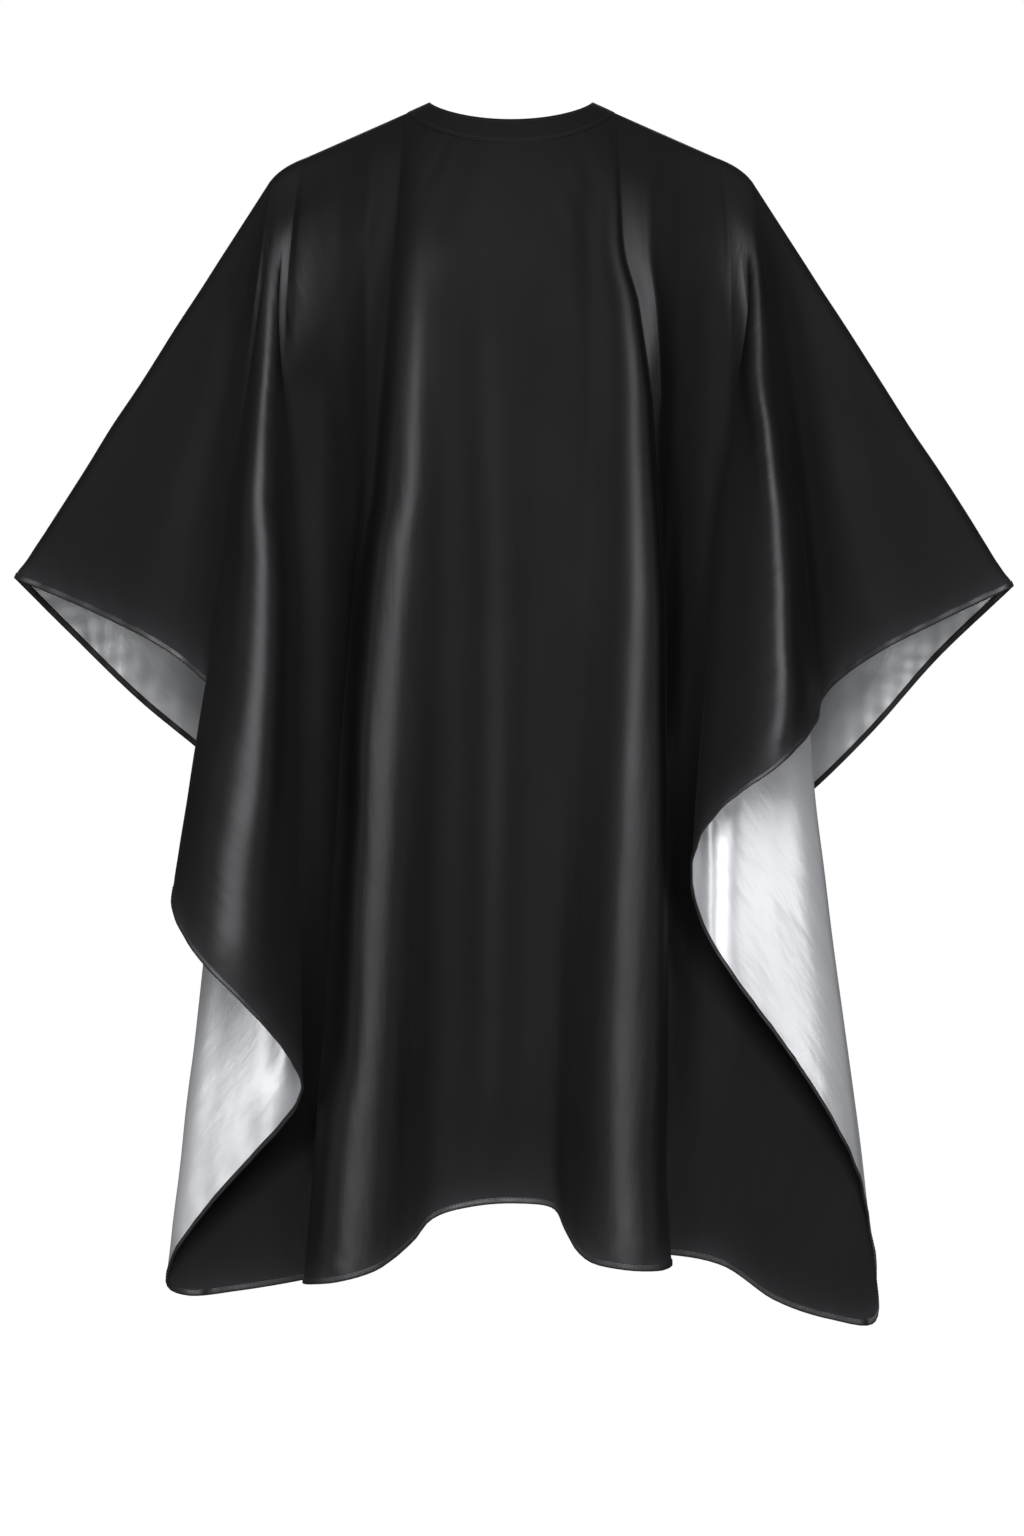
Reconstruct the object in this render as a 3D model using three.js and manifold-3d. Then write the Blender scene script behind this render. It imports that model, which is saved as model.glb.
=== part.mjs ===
// Barber cape: one rectangular two-faced cloth draped over a wearer's shoulders, with narrow turned hems,
// a back slit, a stand neckband and a snapped closure tab at the nape.
// Millimetres. +Z is up, the wearer faces -Y, and the origin is the centre of the neck opening.
import * as THREE from "three";
import Module from "manifold-3d";

const wasm = await Module();
wasm.setup();

// ---- overall size ----
const SPAN = 998; // from one elbow tip to the other
const DROP = 1205; // from the neck opening's centre to the lowest corner
const FRONT_DEPTH = 200; // how far the front pleats stand out
const BACK_DEPTH = 222; // how far the back pleats stand out

// ---- neck and shoulders ----
const SEAM_HALF_WIDTH = 103;
const SEAM_HALF_DEPTH = 78;
const SEAM_SIDE_Z = 2;
const SEAM_DIP = 35;
const COLLAR_HALF_WIDTH = 81;
const COLLAR_HALF_DEPTH = 62;
const COLLAR_SIDE_Z = 12;
const COLLAR_DIP = 21;
const DIP_POWER = 1.4;
const SHOULDER_INNER = [205, -43];
const SHOULDER_PEAK = [230, -52];
const SHOULDER_OUTER = [241, -67];

// ---- cloth ----
const CLOTH_THICKNESS = 0.35;
const LAYER_GAP = 0.3;
const HEM_WIDTH = 5;
const HEM_THICKNESS = 0.4;
const SEAM_GAP = 1.2; // between the cloth's neck edge and the neckband, at the throat
const SLIT_LENGTH_SHARE = 0.27; // of the drop from nape to back hem
const SLIT_HALF_GAP = 1;
const FACING_WIDTH = 12;
const FACING_CLEARANCE = 1.1; // between the facings and the lining, which curves over their width
const FACING_TOP_SHARE = 0.006; // the facings stop this short of the slit's two ends
const FACING_FOOT_SHARE = 0.012;
const TACK_SIZE = [7, 0.8, 2.4];
const TACK_GAP = 1; // between the tack and the cloth it is sewn over
const PLEAT_OPENING = 330; // how far down from the shoulder the pleats take to open out

// ---- closure ----
const BAND_SEGMENTS = 44;
const BAND_LAYERS = { outer: [0.5, 0.9], interlining: [-0.05, 0.2], inner: [-0.75, -0.35] };
const TAB_ROOT_X = 7.5; // where the tab bends as it is peeled open
const TAB_RISE = 7;
const TAB_END_X = -54;
const TAB_INSET = 0.06;
const STUD_X = [-10, -26, -42, -58];
const SNAPPED = [1, 2]; // the studs the tab is fastened on
const SNAP_RADIUS = 4.8;
const FLANGE_THICKNESS = 0.6;
const STUD_BALL_RADIUS = 1.6;
const STUD_BALL_HEIGHT = 1.4;
const STUD_CROWN = 0.5; // solid resin above the stud's bore
const SOCKET_HEIGHT = 1.8;
const SOCKET_WEB = 0.3; // the socket's floor, which the cap's prong goes through
const BALL_CLEARANCE = 0.6; // round the stud's ball, so that the tab can swing off it
const CAP_HEIGHT = 1.1;
const PRONG_RADIUS = 0.7;
const PRONG_CLEARANCE = 0.35;
const SNAP_SEGMENTS = 14;
const HINGE_GAP = 0.5; // between the tab's root and the band's right end

// ---- hem lines: x, y, z and the place on the top line where that fall line starts ----
// Top line: 0 centre, 1 side of the neck, 2 inner shoulder, 3 outer shoulder; minus is the -X side.
const FRONT_HEM = [
  [-496, 0, -463, -3.0],
  [-412, -40, -499, -2.97],
  [-340, -74, -537, -2.94],
  [-304, -88, -568, -2.9],
  [-274, -94, -606, -2.86],
  [-262, -102, -640, -2.81],
  [-274, -114, -668, -2.77],
  [-310, -126, -722, -2.72],
  [-333, -142, -778, -2.66],
  [-329, -162, -802, -2.62],
  [-306, -182, -839, -2.58],
  [-268, -190, -878, -2.53],
  [-226, -178, -925, -2.48],
  [-205, -152, -967, -2.42],
  [-214, -132, -992, -2.38],
  [-250, -112, -1034, -2.33],
  [-300, -88, -1090, -2.28],
  [-335, -70, -1140, -2.23],
  [-341, -58, -1168, -2.19],
  [-322, -48, -1177, -2.16],
  [-271, -52, -1172, -2.08],
  [-205, -64, -1160, -1.96],
  [-146, -78, -1144, -1.8],
  [-124, -98, -1134, -1.65],
  [-132, -120, -1140, -1.5],
  [-168, -138, -1153, -1.3],
  [-203, -158, -1158, -1.12],
  [-197, -180, -1158, -1.0],
  [-170, -192, -1155, -0.82],
  [-132, -186, -1144, -0.65],
  [-100, -168, -1121, -0.52],
  [-76, -152, -1095, -0.42],
  [-38, -143, -1084, -0.27],
  [8, -142, -1081, -0.03],
  [42, -154, -1086, 0.3],
  [56, -176, -1112, 0.56],
  [74, -192, -1134, 0.68],
  [112, -200, -1143, 0.8],
  [148, -190, -1144, 0.91],
  [157, -168, -1140, 1.0],
  [140, -148, -1137, 1.15],
  [92, -128, -1135, 1.35],
  [70, -106, -1131, 1.58],
  [90, -88, -1131, 1.78],
  [140, -78, -1133, 1.96],
  [209, -66, -1146, 2.08],
  [263, -54, -1182, 2.15],
  [318, -44, -1201, 2.2],
  [362, -36, -1205, 2.25],
  [364, -32, -1158, 2.29],
  [357, -38, -1109, 2.33],
  [346, -52, -1060, 2.38],
  [318, -70, -1002, 2.43],
  [272, -86, -932, 2.49],
  [222, -100, -865, 2.54],
  [180, -114, -804, 2.59],
  [167, -130, -762, 2.63],
  [176, -150, -726, 2.67],
  [206, -168, -690, 2.72],
  [248, -170, -654, 2.77],
  [282, -148, -625, 2.82],
  [299, -122, -606, 2.86],
  [307, -100, -582, 2.9],
  [360, -60, -541, 2.94],
  [430, -28, -505, 2.97],
  [502, 0, -471, 3.0],
];
const BACK_HEM = [
  [-496, 0, -463, -3.0],
  [-446, 38, -514, -2.97],
  [-375, 75, -584, -2.93],
  [-314, 98, -635, -2.88],
  [-262, 122, -682, -2.8],
  [-244, 142, -712, -2.7],
  [-262, 172, -756, -2.6],
  [-277, 190, -790, -2.48],
  [-240, 200, -770, -2.34],
  [-190, 206, -730, -2.1],
  [-144, 220, -694, -1.7],
  [-122, 206, -674, -1.3],
  [-96, 190, -662, -1.0],
  [-60, 196, -654, -0.6],
  [-24, 206, -649, -0.2],
  [0, 207, -648, 0],
  [30, 206, -650, 0.25],
  [66, 194, -656, 0.65],
  [100, 190, -664, 1.0],
  [126, 208, -678, 1.3],
  [150, 222, -700, 1.7],
  [196, 206, -736, 2.1],
  [244, 200, -776, 2.34],
  [280, 190, -796, 2.48],
  [266, 172, -770, 2.6],
  [250, 144, -732, 2.7],
  [268, 122, -708, 2.8],
  [312, 104, -669, 2.87],
  [368, 80, -612, 2.92],
  [428, 50, -543, 2.96],
  [502, 0, -471, 3.0],
];
// Where the plain hang ends and the pleats begin and end, on each side of the front.
const PLEATED = [
  [-2.9, -1.0],
  [2.9, 1.0],
];
// How far the cloth bows out over chest, shoulder blades and arms, by place on the top line.
const BOW = [
  [0, 24],
  [0.5, 34],
  [1, 62],
  [1.3, 64],
  [1.6, 46],
  [2.1, 24],
  [2.9, 24],
  [3, 0],
];
const BOW_PEAK = 140; // how far down it bows most
// The fall lines both cloths share along the shoulders, and the ones each has round the neck.
const SHOULDER_PLACES = [
  3, 2.97, 2.94, 2.9, 2.85, 2.81, 2.77, 2.72, 2.66, 2.61, 2.56, 2.51, 2.46, 2.41, 2.36, 2.31, 2.26, 2.21,
  2.16, 2.08, 1.96, 1.8, 1.65, 1.5, 1.3, 1.12, 1,
];
const NECK_PLACES = [0.91, 0.81, 0.7, 0.57, 0.43, 0.28, 0.13];
const ROWS = [0, 0.045, 0.1, 0.17, SLIT_LENGTH_SHARE, 0.42, 0.6, 0.8];

const BLACK_SATIN = { color: 0x111114, roughness: 0.42, metalness: 0 };
const SILVER_SATIN = { color: 0xbfc1c4, roughness: 0.36, metalness: 0.35 };
const BLACK_TAPE = { color: 0x0d0d0f, roughness: 0.6, metalness: 0 };
const WHITE_FELT = { color: 0xd8d6d0, roughness: 0.9, metalness: 0 };
const BLACK_RESIN = { color: 0x17171a, roughness: 0.3, metalness: 0 };

const cape = new THREE.Group();
cape.name = "barber_cape";

function addPiece(name, solid, finish) {
  const mesh = solid.getMesh();
  const geometry = new THREE.BufferGeometry();
  geometry.setAttribute("position", new THREE.BufferAttribute(mesh.vertProperties, 3));
  geometry.setIndex(new THREE.BufferAttribute(mesh.triVerts, 1));
  geometry.computeVertexNormals();
  const piece = new THREE.Mesh(geometry, new THREE.MeshStandardMaterial(finish));
  piece.name = name;
  cape.add(piece);
}

const mix = (a, b, t) => a + (b - a) * t;

function smoothStep(t) {
  const x = Math.min(Math.max(t, 0), 1);
  return x * x * (3 - 2 * x);
}

function lookUp(table, place) {
  const after = table.findIndex(([key]) => key >= place);
  if (after <= 0) return table[Math.max(after, 0)][1];
  const [k0, v0] = table[after - 1];
  const [k1, v1] = table[after];
  return mix(v0, v1, (place - k0) / (k1 - k0));
}

// A point on the neck seam (share 0) or the collar's top edge (share 1); the angle is 0 at the throat.
function neckPoint(angle, share) {
  const dip = Math.pow(Math.abs(Math.cos(angle)), DIP_POWER);
  return new THREE.Vector3(
    mix(SEAM_HALF_WIDTH, COLLAR_HALF_WIDTH, share) * Math.sin(angle),
    -mix(SEAM_HALF_DEPTH, COLLAR_HALF_DEPTH, share) * Math.cos(angle),
    mix(SEAM_SIDE_Z - SEAM_DIP * dip, COLLAR_SIDE_Z - COLLAR_DIP * dip, share),
  );
}

function shoulderPoint(place) {
  const side = Math.sign(place);
  const reach = Math.abs(place);
  if (reach <= 2) {
    const t = reach - 1;
    const x = mix(SEAM_HALF_WIDTH, SHOULDER_INNER[0], t);
    return new THREE.Vector3(side * x, 0, mix(SEAM_SIDE_Z, SHOULDER_INNER[1], t));
  }
  const t = reach - 2;
  const [x, z] = [0, 1].map(
    (k) => (1 - t) * (1 - t) * SHOULDER_INNER[k] + 2 * t * (1 - t) * SHOULDER_PEAK[k] + t * t * SHOULDER_OUTER[k],
  );
  return new THREE.Vector3(side * x, 0, z);
}

// Where a fall line starts: front is -1 for the front of the cape and 1 for the back.
function topPoint(place, front) {
  if (Math.abs(place) >= 1) return shoulderPoint(place);
  const angle = (place * Math.PI) / 2;
  return neckPoint(front < 0 ? angle : Math.PI - angle, 0);
}

const reachOf = (points, axis) => Math.max(...points.map((p) => Math.abs(p[axis])));
const WIDTH_SCALE = SPAN / (FRONT_HEM[FRONT_HEM.length - 1][0] - FRONT_HEM[0][0]);
const DROP_SCALE = DROP / reachOf(FRONT_HEM, 2);

// The smooth hem line through its control points, as a lookup by place on the top line.
function hemLine(points, depth) {
  const depthScale = depth / reachOf(points, 1);
  const curve = new THREE.CatmullRomCurve3(
    points.map(([x, y, z]) => new THREE.Vector3(x * WIDTH_SCALE, y * depthScale, z * DROP_SCALE)),
    false,
    "centripetal",
  );
  const places = points.map(([, , , place]) => place);
  return (place) => {
    const after = Math.max(places.findIndex((p) => p >= place - 1e-9), 1);
    const t = (place - places[after - 1]) / (places[after] - places[after - 1]);
    return curve.getPoint((after - 1 + t) / (places.length - 1));
  };
}

const frontHem = hemLine(FRONT_HEM, FRONT_DEPTH);
const backHem = hemLine(BACK_HEM, BACK_DEPTH);

function fallVector(place, front) {
  const hem = front < 0 ? frontHem : backHem;
  return hem(place).sub(topPoint(place, front));
}

// The direction a pleated fall line leaves the shoulder in, before its pleat opens out.
function plainFall(place, [from, to], front) {
  const first = fallVector(from, front).normalize();
  const last = fallVector(to, front).normalize();
  const t = (place - from) / (to - from);
  return first.lerp(last, t).normalize().multiplyScalar(fallVector(place, front).length());
}

// The cloth's surface: a place on the top line and a share of the way down to the hem.
function clothPoint(place, share, front) {
  const fall = fallVector(place, front);
  const pleat = PLEATED.find(([from, to]) => (place - from) * (place - to) < 0);
  const down = fall.length() * share;
  if (pleat) fall.copy(plainFall(place, pleat, front).lerp(fall, smoothStep(down / PLEAT_OPENING)));
  const point = topPoint(place, front).addScaledVector(fall, share);
  const bow = lookUp(BOW, Math.abs(place)) * (down / BOW_PEAK) * Math.exp(1 - down / BOW_PEAK);
  point.y += front * bow * smoothStep((1 - share) * 3);
  return point;
}

// ---- an open surface with shared vertices, which pieces are thickened from ----
const surface = { points: [], faces: [], normals: [], index: new Map() };

function vertex(key, makePoint) {
  if (!surface.index.has(key)) {
    surface.index.set(key, surface.points.length);
    surface.points.push(makePoint());
  }
  return surface.index.get(key);
}

function hemShare(place, front) {
  return 1 - HEM_WIDTH / fallVector(place, front).length();
}

// One vertex of the cloth grid. Ridge and elbow vertices belong to front and back alike.
function clothVertex(place, row, front, slitSide) {
  const lastRow = ROWS.length + 1;
  const share = row < ROWS.length ? ROWS[row] : row === lastRow ? 1 : hemShare(place, front);
  const shared = Math.abs(place) === 3 || (row === 0 && Math.abs(place) >= 1);
  const split = slitSide !== 0 && share < SLIT_LENGTH_SHARE;
  const edge = Math.abs(place) === 3 ? share.toFixed(4) : row;
  const key = `${shared ? "both" : front}/${place}/${edge}/${split ? slitSide : 0}`;
  return vertex(key, () => {
    const point = clothPoint(place, share, front);
    if (split) point.x += slitSide * SLIT_HALF_GAP;
    return point;
  });
}

// A strip of columns of the cloth; returns its faces row by row so that hems can reuse the last row.
function clothGrid(places, front) {
  const bands = [];
  for (let row = 0; row <= ROWS.length; row++) {
    const band = [];
    for (let i = 0; i + 1 < places.length; i++) {
      const [left, right] = [places[i], places[i + 1]];
      const corner = (place, r) => {
        const slitSide = front > 0 && place === 0 ? Math.sign(left + right) : 0;
        return clothVertex(place, r, front, slitSide);
      };
      const quad = [corner(left, row), corner(right, row), corner(right, row + 1), corner(left, row + 1)];
      band.push({ from: left, to: right, quad: front < 0 ? quad : quad.reverse() });
    }
    bands.push(band);
  }
  return bands;
}

const toFaces = (quads) => quads.flatMap(({ quad: [a, b, c, d] }) => [[a, c, b], [a, d, c]]);

function surfaceNormals(faces) {
  const normals = surface.points.map(() => new THREE.Vector3());
  for (const face of faces) {
    const [a, b, c] = face.map((v) => surface.points[v]);
    const normal = b.clone().sub(a).cross(c.clone().sub(a)).normalize();
    face.forEach((v, k) => {
      const next = surface.points[face[(k + 1) % 3]].clone().sub(surface.points[v]);
      const before = surface.points[face[(k + 2) % 3]].clone().sub(surface.points[v]);
      normals[v].addScaledVector(normal, next.angleTo(before));
    });
  }
  return normals.map((n) => n.normalize());
}

// A closed solid between two levels above the surface, with walls round every free edge.
function thicken(points, faces, normals, low, high) {
  const used = [...new Set(faces.flat())];
  const slot = new Map(used.map((v, i) => [v, i]));
  const count = used.length;
  const positions = [low, high].flatMap((level) =>
    used.flatMap((v) => points[v].clone().addScaledVector(normals[v], level).toArray()),
  );
  const edges = new Set(faces.flatMap(([a, b, c]) => [`${a},${b}`, `${b},${c}`, `${c},${a}`]));
  const triangles = faces.flatMap(([a, b, c]) => {
    const [i, j, k] = [a, b, c].map((v) => slot.get(v));
    return [i + count, j + count, k + count, i, k, j];
  });
  for (const edge of edges) {
    const [a, b] = edge.split(",").map(Number);
    if (edges.has(`${b},${a}`)) continue;
    const [i, j] = [slot.get(a), slot.get(b)];
    triangles.push(i, j, j + count, i, j + count, i + count);
  }
  return solidFrom(positions, triangles);
}

function solidFrom(positions, triangles) {
  return new wasm.Manifold(
    new wasm.Mesh({
      numProp: 3,
      vertProperties: new Float32Array(positions),
      triVerts: new Uint32Array(triangles),
    }),
  );
}

// ---- main cloth ----
const leftPlaces = SHOULDER_PLACES.map((p) => -p);
const rightPlaces = [...SHOULDER_PLACES].reverse();
const leftNeck = NECK_PLACES.map((p) => -p);
const rightNeck = [...NECK_PLACES].reverse();
const allPlaces = [...leftPlaces, ...leftNeck, 0, ...rightNeck, ...rightPlaces];
const frontBands = clothGrid(allPlaces, -1);
const backBands = clothGrid(allPlaces, 1);
const clothFaces = toFaces([...frontBands, ...backBands].flat());
const clothNormals = surfaceNormals(clothFaces);

function clothLayer(faces, low, high) {
  return thicken(surface.points, faces, clothNormals, low, high);
}

const liningInner = -LAYER_GAP - CLOTH_THICKNESS;
const hemOuter = liningInner - LAYER_GAP;
addPiece("outer_cloth", clothLayer(clothFaces, 0, CLOTH_THICKNESS), BLACK_SATIN);
addPiece("silver_lining", clothLayer(clothFaces, liningInner, -LAYER_GAP), SILVER_SATIN);

// ---- turned hems, on the silver face ----
const frontEdge = frontBands[frontBands.length - 1];
const backEdge = backBands[backBands.length - 1];
const between = (band, from, to) => band.filter((q) => q.from >= from - 1e-6 && q.to <= to + 1e-6);
const HEMS = {
  front_hem: between(frontEdge, -2.08, 2.21),
  back_hem: between(backEdge, -2.41, 2.41),
  left_side_hem: [...between(frontEdge, -3, -2.16), ...between(backEdge, -3, -2.46)],
  right_side_hem: [...between(frontEdge, 2.26, 3), ...between(backEdge, 2.46, 3)],
};
for (const [name, quads] of Object.entries(HEMS)) {
  addPiece(name, clothLayer(toFaces(quads), hemOuter - HEM_THICKNESS, hemOuter), BLACK_TAPE);
}

// ---- back slit: facings on the silver face, and the tack across its lower end ----
function facingVertex(side, row, share, inward) {
  return vertex(`facing/${side}/${row}/${inward}`, () => {
    const point = clothPoint(0, share, 1);
    point.x += side * (SLIT_HALF_GAP + inward * FACING_WIDTH);
    return point;
  });
}

function facingFaces(side) {
  const rows = ROWS.filter((share) => share < SLIT_LENGTH_SHARE);
  const shares = [FACING_TOP_SHARE, ...rows.slice(1), SLIT_LENGTH_SHARE - FACING_FOOT_SHARE];
  return shares.slice(1).flatMap((share, i) => {
    const [inner0, outer0] = [0, 1].map((k) => facingVertex(side, i, shares[i], k));
    const [inner1, outer1] = [0, 1].map((k) => facingVertex(side, i + 1, share, k));
    const quad = [inner0, outer0, outer1, inner1];
    return toFaces([{ quad: side < 0 ? quad : quad.reverse() }]);
  });
}

for (const [side, name] of [[-1, "slit_facing_left"], [1, "slit_facing_right"]]) {
  const faces = facingFaces(side);
  const back = surface.points.map(() => new THREE.Vector3(0, 1, 0));
  const high = liningInner - FACING_CLEARANCE;
  addPiece(name, thicken(surface.points, faces, back, high - HEM_THICKNESS, high), BLACK_TAPE);
}

function addSlitTack() {
  const at = clothPoint(0, SLIT_LENGTH_SHARE, 1);
  const block = wasm.Manifold.cube(TACK_SIZE, true);
  const outward = CLOTH_THICKNESS + TACK_GAP;
  addPiece("slit_bar_tack", block.translate([at.x, at.y + outward, at.z + 1]), BLACK_TAPE);
}
addSlitTack();

// ---- neckband: a ruled strip between the seam and the collar edge, open at the nape ----
function bandNormal(angle, share) {
  const step = 1e-3;
  const along = neckPoint(angle + step, share).sub(neckPoint(angle - step, share));
  const up = neckPoint(angle, 1).sub(neckPoint(angle, 0));
  return along.cross(up).normalize();
}

// The angle, counted through the throat, at which the band's middle passes a given x at the nape.
function napeAngle(x) {
  const halfWidth = mix(SEAM_HALF_WIDTH, COLLAR_HALF_WIDTH, 0.5);
  return Math.PI - Math.asin(x / halfWidth);
}

// A strip of the band between two angles; level gives its height above the band's middle surface.
function bandStrip(angles, shares, levels, low, high) {
  const points = [];
  const normals = [];
  const faces = [];
  angles.forEach((angle, i) => {
    for (const share of shares) {
      const normal = bandNormal(angle, share);
      points.push(neckPoint(angle, share).addScaledVector(normal, levels[i]));
      normals.push(normal);
    }
  });
  for (let i = 0; i + 1 < angles.length; i++) {
    const [a, b, c, d] = [2 * i, 2 * i + 1, 2 * i + 2, 2 * i + 3];
    faces.push([a, c, d], [a, d, b]);
  }
  return thicken(points, faces, normals, low, high);
}

function spread(from, to, count) {
  return Array.from({ length: count + 1 }, (_, i) => mix(from, to, i / count));
}

// Places a solid made along +Z so that it stands on the band at x, at the middle of its height.
function standOnBand(solid, x) {
  const angle = napeAngle(x);
  const normal = bandNormal(angle, 0.5);
  const up = neckPoint(angle, 1).sub(neckPoint(angle, 0)).normalize();
  const matrix = new THREE.Matrix4().makeBasis(up.clone().cross(normal).normalize(), up, normal);
  matrix.setPosition(neckPoint(angle, 0.5));
  return solid.transform(matrix.elements);
}

function turned(profile) {
  return new wasm.CrossSection([profile]).revolve(SNAP_SEGMENTS);
}

function punched(solid, places) {
  const radius = PRONG_RADIUS + PRONG_CLEARANCE;
  const hole = wasm.Manifold.cylinder(14, radius, radius, 10).translate([0, 0, -5]);
  return places.reduce((cut, x) => cut.subtract(standOnBand(hole, x)), solid);
}

// The seam allowance leaves the band's lower edge a little above the cloth's neck edge.
const bandFoot = SEAM_GAP / neckPoint(0, 1).distanceTo(neckPoint(0, 0));
const leftEnd = napeAngle(-SLIT_HALF_GAP) - 2 * Math.PI;
const rightEnd = napeAngle(TAB_ROOT_X + HINGE_GAP);
const bandAngles = spread(leftEnd, rightEnd, BAND_SEGMENTS);
for (const [name, [low, high]] of Object.entries(BAND_LAYERS)) {
  const strip = bandStrip(bandAngles, [bandFoot, 1], bandAngles.map(() => 0), low, high);
  const finish = name === "interlining" ? WHITE_FELT : BLACK_SATIN;
  addPiece(`neckband_${name}`, punched(strip, STUD_X), finish);
}

// How far the band and its flat facets curve away from a flat snap of that radius at x.
function bandSag(x) {
  const angle = napeAngle(x);
  const centre = neckPoint(angle, 0.5);
  const normal = bandNormal(angle, 0.5);
  const perRadian = neckPoint(angle + 1e-3, 0.5).distanceTo(centre) * 1e3;
  const turn = SNAP_RADIUS / perRadian;
  const facet = perRadian * (1 - Math.cos(Math.PI / BAND_SEGMENTS));
  const drops = [-turn, turn].map((da) => centre.clone().sub(neckPoint(angle + da, 0.5)).dot(normal));
  return facet + Math.max(...drops);
}

// ---- levels through the closure, counted out from the band's middle surface ----
const sag = Math.max(...STUD_X.map(bandSag));
const studFoot = BAND_LAYERS.outer[1] + LAYER_GAP;
const flangeTop = studFoot + FLANGE_THICKNESS;
const studTop = flangeTop + STUD_BALL_HEIGHT;
const postTop = BAND_LAYERS.inner[0] - LAYER_GAP - sag;
const socketFoot = flangeTop + LAYER_GAP;
const socketTop = socketFoot + SOCKET_HEIGHT;
const tabLevel = socketTop + LAYER_GAP + sag - BAND_LAYERS.inner[0];
const capFoot = tabLevel + BAND_LAYERS.outer[1] + LAYER_GAP;

// ---- closure tab: rises from the band's right end and lies over the left end ----
const tabPlaces = [TAB_ROOT_X, TAB_ROOT_X - TAB_RISE / 2, ...spread(TAB_ROOT_X - TAB_RISE, TAB_END_X, 9)];
const tabAngles = tabPlaces.map(napeAngle);
const tabLevels = tabPlaces.map((x) => tabLevel * smoothStep((TAB_ROOT_X - x) / TAB_RISE));
const snappedX = SNAPPED.map((i) => STUD_X[i]);
for (const [name, [low, high]] of Object.entries(BAND_LAYERS)) {
  const strip = bandStrip(tabAngles, [TAB_INSET, 1 - TAB_INSET], tabLevels, low, high);
  addPiece(`tab_${name}`, punched(strip, snappedX), name === "interlining" ? WHITE_FELT : BLACK_SATIN);
}

// ---- snaps ----
const prongHole = PRONG_RADIUS + PRONG_CLEARANCE;

function makeStud() {
  const neck = STUD_BALL_RADIUS - 0.2;
  const boreTop = studTop - STUD_CROWN;
  return turned([
    [prongHole, studFoot],
    [SNAP_RADIUS, studFoot],
    [SNAP_RADIUS, flangeTop],
    [neck, flangeTop],
    [STUD_BALL_RADIUS, mix(flangeTop, studTop, 0.6)],
    [neck, studTop],
    [0, studTop],
    [0, boreTop],
    [prongHole, boreTop],
  ]);
}

function makePost() {
  const foot = postTop - FLANGE_THICKNESS - 0.1;
  const prongTop = studTop - STUD_CROWN - PRONG_CLEARANCE;
  return turned([
    [0, foot],
    [SNAP_RADIUS - 0.6, foot],
    [SNAP_RADIUS, foot + 0.4],
    [SNAP_RADIUS, postTop],
    [PRONG_RADIUS, postTop],
    [PRONG_RADIUS, prongTop],
    [0, prongTop],
  ]);
}

function makeSocket() {
  const cavity = STUD_BALL_RADIUS + BALL_CLEARANCE;
  const webFoot = socketTop - SOCKET_WEB;
  return turned([
    [cavity, socketFoot],
    [SNAP_RADIUS, socketFoot],
    [SNAP_RADIUS, socketTop],
    [prongHole, socketTop],
    [prongHole, webFoot],
    [cavity, webFoot],
  ]);
}

function makeCap() {
  const prongFoot = socketTop - SOCKET_WEB;
  return turned([
    [0, prongFoot],
    [PRONG_RADIUS, prongFoot],
    [PRONG_RADIUS, capFoot],
    [SNAP_RADIUS, capFoot],
    [SNAP_RADIUS, capFoot + CAP_HEIGHT * 0.35],
    [SNAP_RADIUS * 0.7, capFoot + CAP_HEIGHT * 0.8],
    [0, capFoot + CAP_HEIGHT],
  ]);
}

STUD_X.forEach((x, i) => {
  addPiece(`snap_stud_${i + 1}`, standOnBand(makeStud(), x), BLACK_RESIN);
  addPiece(`snap_post_${i + 1}`, standOnBand(makePost(), x), BLACK_RESIN);
});
snappedX.forEach((x, i) => {
  addPiece(`snap_socket_${i + 1}`, standOnBand(makeSocket(), x), BLACK_RESIN);
  addPiece(`snap_cap_${i + 1}`, standOnBand(makeCap(), x), BLACK_RESIN);
});

export default cape;
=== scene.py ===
# Looks of the barber cape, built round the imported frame.
# Lengths are in millimetres until a mesh is made.
import math

import bpy
import numpy as np
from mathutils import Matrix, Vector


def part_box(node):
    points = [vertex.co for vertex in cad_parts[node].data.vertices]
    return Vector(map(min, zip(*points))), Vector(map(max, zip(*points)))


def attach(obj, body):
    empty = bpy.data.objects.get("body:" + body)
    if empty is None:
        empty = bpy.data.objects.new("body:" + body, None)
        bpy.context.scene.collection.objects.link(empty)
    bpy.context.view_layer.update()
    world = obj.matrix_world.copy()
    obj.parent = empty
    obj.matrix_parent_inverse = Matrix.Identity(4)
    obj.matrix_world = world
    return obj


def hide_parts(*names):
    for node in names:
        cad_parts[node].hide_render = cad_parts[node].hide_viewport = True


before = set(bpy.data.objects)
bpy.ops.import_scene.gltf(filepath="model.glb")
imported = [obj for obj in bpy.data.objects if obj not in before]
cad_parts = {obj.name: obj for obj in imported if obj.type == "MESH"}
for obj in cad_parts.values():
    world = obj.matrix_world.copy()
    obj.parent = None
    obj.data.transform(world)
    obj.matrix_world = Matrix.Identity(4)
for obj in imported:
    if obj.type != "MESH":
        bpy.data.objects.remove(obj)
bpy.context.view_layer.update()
scene = bpy.context.scene
MM = 0.001
CAPE_BODY = "cape"
TAB_BODY = "closure_tab"

# ---- camera and light ----
CAMERA_DISTANCE = 9.0
FRAME_HEIGHT = 1.536
EYE = (0.001, -CAMERA_DISTANCE, -0.653)
FLOOR_Z = -1.47

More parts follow.
